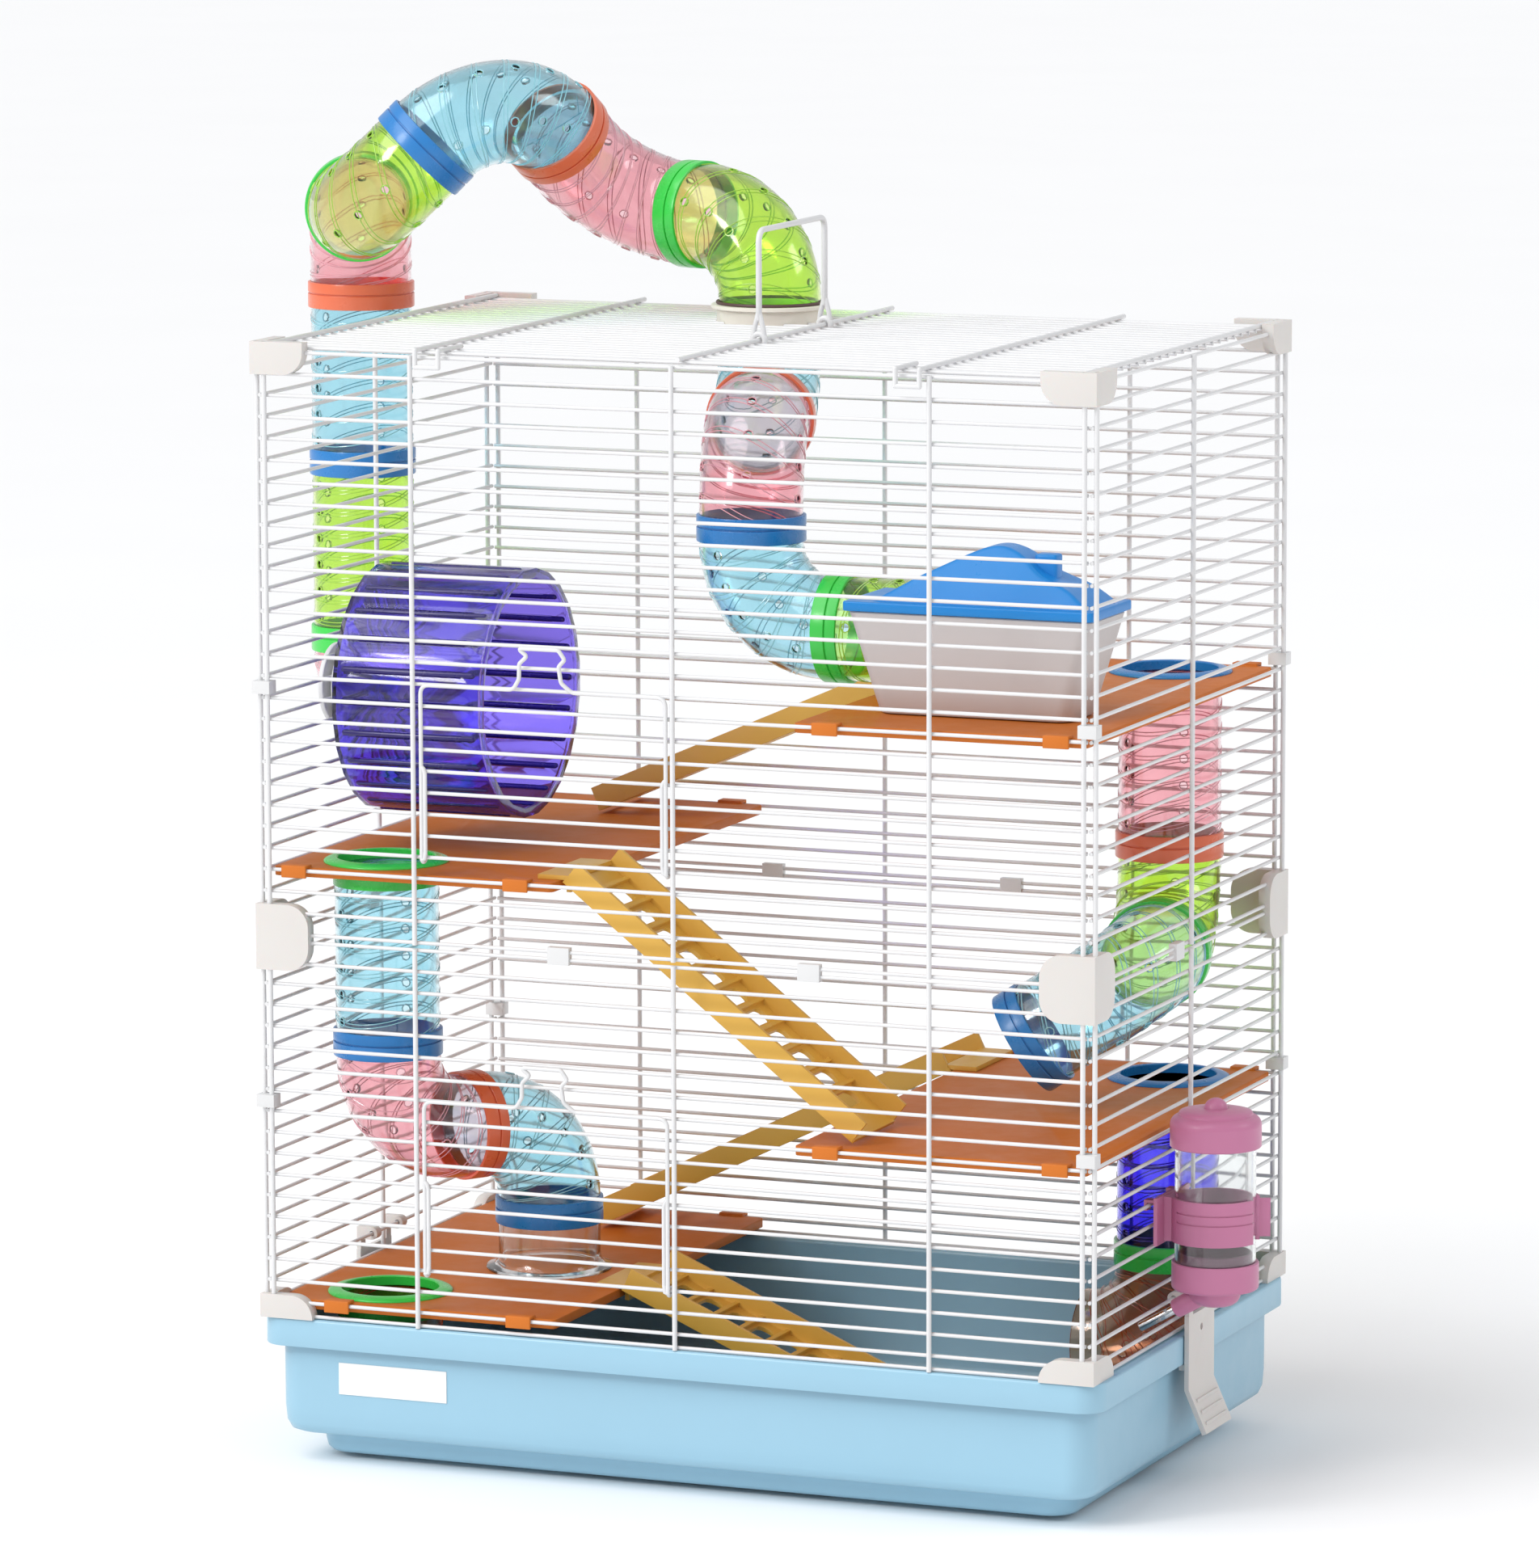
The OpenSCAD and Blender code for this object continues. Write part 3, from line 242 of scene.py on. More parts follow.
def add_piece(name, verts, faces, material, nodes, edge=35.0):
    """A piece from points in metres. It rides on its first node's body and stands for the nodes."""
    mesh = new_mesh(name, verts, faces)
    tidy = bmesh.new()
    tidy.from_mesh(mesh)
    bmesh.ops.recalc_face_normals(tidy, faces=tidy.faces)
    tidy.to_mesh(mesh)
    tidy.free()
    return place(name, mesh, material, nodes, edge)


def place(name, mesh, material, nodes, edge=35.0):
    obj = bpy.data.objects.new(name, mesh)
    bpy.context.scene.collection.objects.link(obj)
    mesh.materials.clear()
    mesh.materials.append(material)
    mesh.polygons.foreach_set("use_smooth", [True] * len(mesh.polygons))
    mesh.set_sharp_from_angle(angle=math.radians(edge))
    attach(obj, BODY_OF[nodes[0]])
    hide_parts(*nodes)
    return obj


def merged(parts):
    """One (points, faces) pair from several."""
    verts, faces, start = [], [], 0
    for v, f in parts:
        verts.extend(v)
        faces.extend([tuple(i + start for i in face) for face in f])
        start += len(v)
    return verts, faces


def centre(node):
    lo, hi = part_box(node)
    return np.array((lo + hi) / 2)


def unit(v):
    return np.asarray(v, float) / np.linalg.norm(v)


def frames_along(path, closed=False):
    """Tangents and two normals at each point of a path, turned as little as possible."""
    path = np.asarray(path, float)
    if closed:
        tangents = np.roll(path, -1, 0) - np.roll(path, 1, 0)
    else:
        tangents = np.gradient(path, axis=0)
    tangents /= np.linalg.norm(tangents, axis=1)[:, None]
    side = np.cross(tangents[0], UP if abs(tangents[0][2]) < 0.9 else (1.0, 0.0, 0.0))
    normals = []
    for t in tangents:
        side = unit(side - (side @ t) * t)
        normals.append(side)
    normals = np.array(normals)
    return tangents, normals, np.cross(tangents, normals)


def pipe(path, radius, sides=10, closed=False):
    """A round wire along a path, with domed ends where it is open."""
    path = np.asarray(path, float)
    tangents, n, b = frames_along(path, closed)
    rings = [(p, radius) for p in path]
    axes = list(zip(n, b))
    if not closed:
        dome = [(0.0, 1.0), (0.5, 0.866), (0.866, 0.5)]
        head = [(path[0] - tangents[0] * radius * s, radius * c) for s, c in dome[:0:-1]]
        tail = [(path[-1] + tangents[-1] * radius * s, radius * c) for s, c in dome[1:]]
        rings = head + rings + tail
        axes = [axes[0]] * len(head) + axes + [axes[-1]] * len(tail)
    angles = np.arange(sides) * 2 * math.pi / sides
    verts = [c + r * (math.cos(a) * u + math.sin(a) * v)
             for (c, r), (u, v) in zip(rings, axes) for a in angles]
    faces = []
    count = len(rings)
    for i in range(count if closed else count - 1):
        j = (i + 1) % count
        for k in range(sides):
            m = (k + 1) % sides
            faces.append((i * sides + k, i * sides + m, j * sides + m, j * sides + k))
    if not closed:
        faces.append(tuple(range(sides)))
        faces.append(tuple((count - 1) * sides + k for k in range(sides)))
    return verts, faces


def filleted(points, radius, steps=6):
    """The points with each inner corner rounded. radius is one number or one for each corner."""
    points = [np.asarray(p, float) for p in points]
    radii = radius if isinstance(radius, (list, tuple)) else [radius] * (len(points) - 2)
    out = [points[0]]
    for a, c, b, r in zip(points, points[1:], points[2:], radii):
        u, v = unit(a - c), unit(b - c)
        half = math.acos(max(-1.0, min(1.0, float(u @ v)))) / 2
        cut = min(r / math.tan(half), 0.49 * np.linalg.norm(a - c), 0.49 * np.linalg.norm(b - c))
        start, end = c + u * cut, c + v * cut
        for i in range(steps + 1):
            t = i / steps
            out.append((1 - t) ** 2 * start + 2 * t * (1 - t) * c + t * t * end)
    out.append(points[-1])
    return out


def lathe(profile, origin, axis=UP, sides=64):
    """Turns (radius, height) pairs in mm, a closed outline, about an axis through origin."""
    axis = unit(axis)
    u = unit(np.cross(axis, (1.0, 0.0, 0.0) if abs(axis[0]) < 0.9 else (0.0, 1.0, 0.0)))
    v = np.cross(axis, u)
    verts, rows = [], []
    for r, h in profile:
        base = np.asarray(origin) + axis * h * MM
        if r < 1e-6:
            rows.append([len(verts)] * sides)
            verts.append(base)
            continue
        rows.append(list(range(len(verts), len(verts) + sides)))
        for k in range(sides):
            a = 2 * math.pi * k / sides
            verts.append(base + r * MM * (math.cos(a) * u + math.sin(a) * v))
    faces = []
    for row, after in zip(rows, rows[1:] + rows[:1]):
        for k in range(sides):
            m = (k + 1) % sides
            ring = []
            for i in (row[k], row[m], after[m], after[k]):
                if i not in ring:
                    ring.append(i)
            if len(ring) > 2:
                faces.append(tuple(ring))
    return verts, faces


def arc(cx, cy, r, start, end, steps=5):
    """Points of an arc in the plane, angles in degrees."""
    return [(cx + r * math.cos(math.radians(start + (end - start) * i / steps)),
             cy + r * math.sin(math.radians(start + (end - start) * i / steps))) for i in range(steps + 1)]


def rounded_ring(cx, cy, w, d, r, z, steps=7):
    """A rounded rectangle of points at height z, all in mm."""
    ring = []
    for sx, sy, start in ((1, 1, 0), (-1, 1, 90), (-1, -1, 180), (1, -1, 270)):
        ring += arc(cx + sx * (w / 2 - r), cy + sy * (d / 2 - r), r, start, start + 90, steps)
    return [np.array([x, y, z]) * MM for x, y in ring]


def loft(rings, closed=False):
    """Skin over rings that have the same number of points, capped at both ends unless closed."""
    n = len(rings[0])
    verts = [p for ring in rings for p in ring]
    faces = []
    count = len(rings)
    for i in range(count if closed else count - 1):
        j = (i + 1) % count
        for k in range(n):
            m = (k + 1) % n
            faces.append((i * n + k, i * n + m, j * n + m, j * n + k))
    if not closed:
        faces.append(tuple(range(n)))
        faces.append(tuple((count - 1) * n + k for k in range(n)))
    return verts, faces


def cad_copy(node):
    """The CAD node's mesh as clean flat faces, in a bmesh."""
    bm = bmesh.new()
    bm.from_mesh(NODES[node].data)
    bmesh.ops.remove_doubles(bm, verts=bm.verts, dist=2e-6)
    bmesh.ops.dissolve_limit(bm, angle_limit=math.radians(0.6), verts=bm.verts, edges=bm.edges)
    return bm


def softened(node, name, material, width, edge, segments):
    """A copy of a CAD node with its sharp edges rounded."""
    bm = cad_copy(node)
    limit = math.radians(edge)
    sharp = [e for e in bm.edges if len(e.link_faces) == 2 and e.calc_face_angle(0.0) > limit]
    bmesh.ops.bevel(bm, geom=sharp, offset=width * MM, segments=segments, profile=0.6, affect="EDGES",
                    clamp_overlap=True, loop_slide=True)
    mesh = bpy.data.meshes.new(name)
    bm.to_mesh(mesh)
    bm.free()
    return place(name, mesh, material, [node], 40.0)


def islands(node):
    """The separate solids of a CAD node: arrays of points and of triangles' point numbers."""
    bm = bmesh.new()
    bm.from_mesh(NODES[node].data)
    bmesh.ops.remove_doubles(bm, verts=bm.verts, dist=2e-6)
    bmesh.ops.triangulate(bm, faces=bm.faces)
    seen, found = set(), []
    for first in bm.verts:
        if first.index in seen:
            continue
        stack, group = [first], []
        seen.add(first.index)
        while stack:
            v = stack.pop()
            group.append(v)
            for e in v.link_edges:
                o = e.other_vert(v)
                if o.index not in seen:
                    seen.add(o.index)
                    stack.append(o)
        number = {v.index: i for i, v in enumerate(group)}
        tris = {f.index: [number[v.index] for v in f.verts] for v in group for f in v.link_faces}
        found.append((np.array([v.co for v in group], float), np.array(list(tris.values()))))
    bm.free()
    return found


def flat_ends(points, tris, least=40):
    """(centre, outward normal) of each flat ring-shaped face, found by its many points in one plane."""
    a, b, c = (points[tris[:, i]] for i in range(3))
    normals = np.cross(b - a, c - a)
    area = np.linalg.norm(normals, axis=1)
    good = area > 1e-14
    normals = normals[good] / area[good][:, None]
    used = tris[good]
    offset = (normals * a[good]).sum(1)
    keys = {}
    for n, d, t in zip(normals, offset, used):
        keys.setdefault((*np.round(n, 2) + 0.0, round(float(d), 4)), set()).update(t)
    ends = []
    for key, members in sorted(keys.items()):
        if len(members) < least:
            continue
        ring = points[sorted(members)]
        ends.append((ring.mean(0), unit(key[:3])))
    merged_ends = []
    for p, n in ends:
        if all(np.linalg.norm(p - q) > 2e-4 or n @ m < 0.9 for q, m in merged_ends):
            merged_ends.append((p, n))
    return merged_ends


# ---------- tubes ----------
# Outer radius and wall of every tube, and the radius of a normal bend's centreline, in mm.
TUBE_R = 27.3
TUBE_WALL = 1.6
BEND_R = 44.0
# Radius of a collar's, a ring's and a flange's bore: a little more than the tube's.
BORE_R = TUBE_R + 0.05
# Air vents: radius in mm, and the rows of the skin from one vent to the next.
VENT_R = 2.5
VENT_STEP = 6
# The eight skin points round a vent's middle, in order, as (row, column) steps.
VENT_LOOP = [(-1, -1), (-1, 0), (-1, 1), (0, 1), (1, 1), (1, 0), (1, -1), (0, -1)]
# Moulded ribs: from pair to pair, within a pair, how far a ring leans, and the radius of its bead, in mm.
RIB_PITCH = 12.5
RIB_PAIR = 1.9
RIB_SLANT = 9.0
RIB_BEAD = 0.3


def straight(start, way, length, step):
    """Points along a straight stretch, without its first one. A very short stretch has none."""
    if length <= 1e-5:
        return []
    count = max(1, round(length / step))
    return [start + way * length * i / count for i in range(1, count + 1)]


def bend_path(p0, d0, p1, d1, bend, step=0.0024):
    """Centreline from p0 along d0 to p1 along d1: straight, arc, straight. bend None is the widest arc."""
    if np.linalg.norm(np.cross(d0, d1)) < 0.02:
        count = max(2, round(np.linalg.norm(p1 - p0) / step))
        path = np.array([p0 + (p1 - p0) * i / count for i in range(count + 1)])
        return path, -unit(np.cross(d0, (0.3, 1, 0.2)))
    normal = np.cross(d0, d1)
    reach = np.cross(p1 - p0, d1) @ normal / (normal @ normal)
    corner = p0 + reach * d0
    angle = math.acos(float(d0 @ d1))
    leg = min(np.linalg.norm(corner - p0), np.linalg.norm(p1 - corner))
    cut = leg if bend is None else bend * math.tan(angle / 2)
    r = cut / math.tan(angle / 2)
    inward = unit(d1 - (d1 @ d0) * d0)
    middle = corner - cut * d0 + r * inward
    path = [p0] + straight(p0, d0, np.linalg.norm(corner - p0) - cut, step)
    count = round(r * angle / step)
    for i in range(1, count + 1):
        a = angle * i / count
        path.append(middle + r * (-math.cos(a) * inward + math.sin(a) * d0))
    rest = np.linalg.norm(p1 - corner) - cut
    path += straight(p1 - d1 * rest, d1, rest, step)
    return np.array(path), inward


def misfit(points, path):
    """How badly a centreline fits the CAD tube's own points."""
    d = np.linalg.norm(points[:, None] - path[None], axis=2).min(1)
    wall = np.minimum(abs(d - TUBE_R * MM), abs(d - (TUBE_R - TUBE_WALL) * MM))
    return float(wall.mean())


def furthest(ends):
    """The two ends that are furthest apart."""
    return max(((a, b) for a in ends for b in ends), key=lambda ab: np.linalg.norm(ab[0][0] - ab[1][0]))


def tube_paths(node):
    """Centreline and inner side of the bend for each tube of a CAD node."""
    paths = []
    for points, tris in islands(node):
        ends = flat_ends(points, tris)
        (p0, n0), (p1, n1) = sorted(furthest(ends), key=lambda e: tuple(e[0]))
        tries = [bend_path(p0, -n0, p1, n1, b) for b in (BEND_R * MM, None)]
        paths.append(min(tries, key=lambda t: misfit(points[::3], t[0])))
    return paths


def tube_skin(path, inward, sides=72):
    """A tube wall with round vents through it, and thin beads round the vents."""
    tangents, n, b = frames_along(path)
    turn = math.atan2(inward @ b[0], inward @ n[0])
    rows = len(path)
    angles = np.arange(sides) * 2 * math.pi / sides
    lines = ((sides // 4 + 4, 5), (sides // 2, 8), (3 * sides // 4 - 4, 5))
    vents = [(i, k) for k, first in lines for i in range(first, rows - 5, VENT_STEP)]
    around = {(i + di, (k + dk) % sides): (i, k, math.atan2(dk, di))
              for i, k in vents for di, dk in VENT_LOOP}

    def at(i, k, radius):
        """The wall's point at a row and column. A vent's eight neighbours move onto its round edge."""
        if (i, k % sides) not in around:
            a = angles[k % sides] + turn
            return path[i] + radius * (math.cos(a) * n[i] + math.sin(a) * b[i])
        row, column, a = around[(i, k % sides)]
        bearing = angles[column] + turn
        out = math.cos(bearing) * n[row] + math.sin(bearing) * b[row]
        across = np.cross(tangents[row], out)
        local = VENT_R * MM * (math.cos(a) * tangents[row] + math.sin(a) * across)
        depth = math.sqrt(max(radius**2 - (local @ across) ** 2, 0.0))
        return path[row] + out * depth + local

    verts = [at(i, k, radius) for radius in (TUBE_R * MM, (TUBE_R - TUBE_WALL) * MM)
             for i in range(rows) for k in range(sides)]
    layer = rows * sides
    gone = {(i + di, (k + dk) % sides) for i, k in vents for di in (-1, 0) for dk in (-1, 0)}
    faces = []
    for i in range(rows - 1):
        for k in range(sides):
            if (i, k) in gone:
                continue
            m = (k + 1) % sides
            quad = (i * sides + k, i * sides + m, (i + 1) * sides + m, (i + 1) * sides + k)
            faces += [quad, tuple(layer + q for q in reversed(quad))]
    loops = [[i * sides + k for k in range(sides)] for i in (0, rows - 1)]
    loops += [[(i + di) * sides + (k + dk) % sides for di, dk in VENT_LOOP] for i, k in vents]
    for loop in loops:
        faces += [(p, q, layer + q, layer + p) for p, q in zip(loop, loop[1:] + loop[:1])]
    used = sorted({i for f in faces for i in f})
    number = {old: new for new, old in enumerate(used)}
    skin = [verts[i] for i in used], [tuple(number[i] for i in f) for f in faces]
    beads = [pipe([at(i + di, k + dk, (TUBE_R + 0.12) * MM) for di, dk in VENT_LOOP], 0.35 * MM, 5, True)
             for i, k in vents]
    return skin, beads


def tube_ribs(path, inward):
    """Pairs of fine slanted rings on a tube, which draw together on the inner side of its bend."""
    _, n, b = frames_along(path)
    turn = math.atan2(inward @ b[0], inward @ n[0])
    step = np.linalg.norm(path[1] - path[0])
    last = len(path) - 1
    rings = []

    def on_skin(row, angle):
        row = min(max(row, 0.6), last - 0.6)
        i = min(int(row), last - 1)
        t = row - i
        middle = (1 - t) * path[i] + t * path[i + 1]
        u = (1 - t) * n[i] + t * n[i + 1]
        v = (1 - t) * b[i] + t * b[i + 1]
        return middle + (TUBE_R + 0.05) * MM * (math.cos(angle) * u + math.sin(angle) * v)

    count = max(2, round(last * step / MM / RIB_PITCH))
    for k in range(count):
        for offset in (-0.5, 0.5):
            row = (k + 0.5) * last / count + offset * RIB_PAIR * MM / step
            ring = [on_skin(row + RIB_SLANT * MM / step * math.sin(a), a + turn)
                    for a in np.linspace(0, 2 * math.pi, 44, endpoint=False)]
            rings.append(pipe(ring, RIB_BEAD * MM, 5, True))
    return rings


def build_tubes():
    tones = {
        "pink_elbows_outer": "pink", "pink_elbows_inner": "pink", "shelf_b_tube": "pink",
        "green_elbows": "green", "riser_lower": "green", "house_tube": "green",
        "sky_elbows_upper": "sky", "sky_elbows_lower": "sky", "arch_tube": "sky",
        "riser_upper": "sky", "shelf_a_tube": "sky", "shelf_c_tube": "indigo",
        "tray_elbow": "amber", "tray_stub": "amber",
    }
    for node, tone in tones.items():
        skins, ribs = [], []
        for path, inward in tube_paths(node):
            skin, beads = tube_skin(path, inward)
            skins.append(skin)
            ribs += beads + tube_ribs(path, inward)
        add_piece(node + "_look", *merged(skins), M["tube_" + tone], [node])
        add_piece(node + "_ribs", *merged(ribs), M["rib_" + tone], [node])


def collar_profile(half):
    """Outline of a collar: a broad and a narrow band with a groove between, on a plain bore."""
    r, g = 28.9, 1.0
    return [(BORE_R, -half), (r - 0.6, -half), (r - 0.15, -half + 0.2), (r, -half + 0.7), (r, g - 0.7),
            (r - 0.2, g - 0.45), (r - 0.95, g - 0.35), (r - 0.95, g + 0.35), (r - 0.2, g + 0.45),
            (r, g + 0.7), (r, half - 0.7), (r - 0.15, half - 0.2), (r - 0.6, half), (BORE_R, half)]


def build_collars():
    for node, tone in (("blue_collars", "blue"), ("orange_collars", "orange"), ("green_collars", "green")):
        parts = []
        for points, tris in islands(node):
            a, b = furthest(flat_ends(points, tris))
            length = np.linalg.norm(b[0] - a[0])
            parts.append(lathe(collar_profile(length / 2 / MM), (a[0] + b[0]) / 2, b[0] - a[0], 72))
        add_piece(node + "_look", *merged(parts), M[tone], [node], 28.0)


def build_rings():
    outer, inner, sleeve = 33.0, TUBE_R - TUBE_WALL, TUBE_R + 0.85
    profile = [(inner, -5.0), (inner, -0.6), (inner + 0.5, 0.0), (inner + 2.0, 0.1), (outer - 1.6, -0.8),
               (outer - 0.3, -1.5), (outer, -2.0), (outer, -2.45), (sleeve, -2.5), (sleeve, -14.4),
               (BORE_R, -14.5), (BORE_R, -5.0)]
    for node, tone in (("green_rings", "green"), ("blue_rings", "blue")):
        parts = []
        for points, _ in islands(node):
            middle = (points.min(0) + points.max(0)) / 2
            parts.append(lathe(profile, (middle[0], middle[1], points[:, 2].max()), UP, 72))
        add_piece(node + "_look", *merged(parts), M[tone], [node])


# ---------- fixed parts ----------
def build_tray():
    """Basin in one skin: from its underside up its outside, over the rim and down to its floor."""
    lo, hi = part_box("tray")
    rim_w, rim_d = (hi.x - lo.x) / MM, (hi.y - lo.y) / MM
    top = hi.z / MM
    # Each ring: how much narrower than the rim it is, its corner radius and its height.
    underside = [(60, 13, 3.0), (51, 14, 3.4), (47.5, 14.5, 5.5), (46, 14.5, 9.5), (45.2, 14.5, 14.0),
                 (42, 14.5, 15.6), (24, 14.5, 15.8), (18.5, 14.8, 17.2)]
    outside = [(15.2, 14.5, 21.5), (14, 14.5, 30.0), (13.6, 14.5, top - 3.2), (4.2, 12.2, top - 3.0),
               (4, 12, top - 15), (0.6, 13.7, top - 15), (0, 14, top - 14.2), (0, 14, top - 1.2),
               (0.7, 13.6, top - 0.3), (2.4, 13, top)]
    inside = [(17, 13, top), (19, 12, top - 0.8), (19.4, 12, top - 2.5), (20.5, 14, 22), (23, 14, 19.6),
              (46, 13, 19.2), (50, 13, 17), (52, 13, 10), (56, 13, 6.4), (66, 12, 5.5)]
    basin = loft([rounded_ring(0, 0, rim_w - inset, rim_d - inset, r, z, 9)
                  for inset, r, z in underside + outside + inside])
    foot = ((2.4, 0.0), (0.6, 0.5), (0, 1.4), (0, 3.4))
    pads = [(x, y, 110, 16, 7) for x in (-130, 130) for y in (-105, 105)] + [(0, 0, 180, 90, 12)]
    feet = [loft([rounded_ring(x, y, w - c, d - c, r - c / 2, z) for c, z in foot]) for x, y, w, d, r in pads]
    add_piece("tray_look", *merged([basin, *feet]), M["tray"], ["tray"], 50.0)


def build_softened():
    """Pieces that keep their CAD shape, with rounded edges."""
    groups = (
        (("label_plate",), "label", 0.2, 32.0, 2),
        (("top_connectors", "mid_connectors", "base_connectors"), "off_white", 0.7, 40.0, 3),
        (("corner_clips", "joint_clips"), "clip", 0.6, 40.0, 3),
        (("latch_left", "latch_right"), "off_white", 0.6, 40.0, 3),
        (("shelf_a", "shelf_b", "shelf_c", "shelf_d"), "shelf", 0.5, 40.0, 2),
        (("ramp_a", "ramp_b", "ramp_c", "ramp_d"), "ramp", 0.6, 40.0, 2),
        (("bottle_holder",), "mauve", 0.5, 40.0, 3),
        (("wheel",), "wheel", 0.25, 40.0, 2),
        (("wheel_mount",), "clip", 0.6, 40.0, 2),
    )
    for nodes, material, width, edge, segments in groups:
        for node in nodes:
            softened(node, node + "_look", M[material], width, edge, segments)


def keep(nodes, material):
    """Gives CAD nodes that stay as they are their material."""
    for node in nodes:
        mesh = NODES[node].data
        mesh.materials.clear()
        mesh.materials.append(material)


def build_wheel_slot_shade():
    """Painted shade: dark bars set in the wheel's rim slots, and a thinner one in each slot of its back,
    standing for the shade seen through the slots.
    """
    lo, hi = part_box("wheel")
    mid = centre("wheel")
    slots = 24
    depth = (hi.z - lo.z) / 2 - 1.0 * MM
    side = np.array([1.0, 0.0, 0.0])
    half = ((hi.x - lo.x) / 2 - 6.0 * MM) * side
    back = np.array([lo.x + 0.9 * MM, mid[1], mid[2]])
    parts = []
    for i in range(slots):
        a = 2 * math.pi * i / slots
        out = np.array([0.0, math.sin(a), math.cos(a)])
        bar = mid + out * depth
        parts.append(pipe([bar - half, bar, bar + half], 1.7 * MM, 12))
        parts.append(pipe([back + out * reach * MM for reach in (23, 38, 55)], 1.0 * MM, 10))
    # The dark bars are painted shade in the slots.
    add_piece("wheel_slot_shade_look", *merged(parts), M["slot_shade"], ["wheel"])


# ---------- house ----------
def cut_away(piece, name, verts, faces):
    """Cuts a closed shape out of a piece."""
    cutter = bpy.data.objects.new(name, new_mesh(name, verts, faces))
    bpy.context.scene.collection.objects.link(cutter)
    cut = piece.modifiers.new(name, "BOOLEAN")
    cut.object = cutter
    cut.operation = "DIFFERENCE"
    bpy.context.view_layer.update()
    result = bpy.data.meshes.new_from_object(piece.evaluated_get(bpy.context.evaluated_depsgraph_get()))
    piece.modifiers.clear()
    piece.data = result
    result.set_sharp_from_angle(angle=math.radians(35))
    bpy.data.objects.remove(cutter)


def build_house():
    """Tapered box, open at the top, with a round doorway in its back wall."""
    lo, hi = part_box("house_base")
    cx, cy = (lo.x + hi.x) / 2 / MM, (lo.y + hi.y) / 2 / MM
    w, d = (hi.x - lo.x) / MM, (hi.y - lo.y) / MM
    z0, z1 = lo.z / MM, hi.z / MM
    # The foot is narrower than the top, because the walls slope.
    foot_w, foot_d = w - 27, d - 14
    wall = 2.0

    def ring(share, inset, z, r):
        """The wall's outline. share goes from 0 at the foot to 1 at the top."""
        return rounded_ring(cx, cy, foot_w + (w - foot_w) * share - 2 * inset,
                            foot_d + (d - foot_d) * share - 2 * inset, max(r - inset, 1.0), z, 8)

    rings = [ring(0, 3.0, z0, 9), ring(0, 0.8, z0 + 0.5, 9), ring(0.02, 0, z0 + 1.8, 9)]
    rings += [ring(t, 0, z0 + (z1 - z0) * t, 9 - 2 * t) for t in (0.25, 0.5, 0.75, 0.95)]
    rings += [ring(1, 0.1, z1 - 0.6, 7), ring(1, 0.6, z1, 7), ring(1, wall - 0.4, z1, 7)]
    rings += [ring(1, wall, z1 - 0.6, 7)]
    rings += [ring(t, wall, z0 + (z1 - z0) * t, 9 - 2 * t) for t in (0.75, 0.5, 0.25, 0.1)]
    rings += [ring(0.03, wall + 1.2, z0 + wall, 9)]
    base = add_piece("house_base_look", *loft(rings), M["house"], ["house_base"])
    door_r, door_x, door_z = 17, cx - 28, z0 + 21
    outline = [(0, 0), (door_r, 0), (door_r, 40), (0, 40)]
    cut_away(base, "doorway", *lathe(outline, (door_x * MM, (cy + 8) * MM, door_z * MM), (0, 1, 0), 48))


# The roof's ridge line along X, from the lid's middle and from its underside, in mm.
ROOF_X = (-58, -54, -31, -8, 2, 9.5, 17, 24, 33, 42, 51, 60, 64)
ROOF_Z = (3, 5, 18, 29, 33.2, 34.6, 33.2, 29.5, 21.5, 17.5, 14, 7, 3)


def smooth_min(a, b, k=2.5):
    h = np.clip(0.5 + 0.5 * (b - a) / k, 0, 1)
    return b * (1 - h) + a * h - k * h * (1 - h)


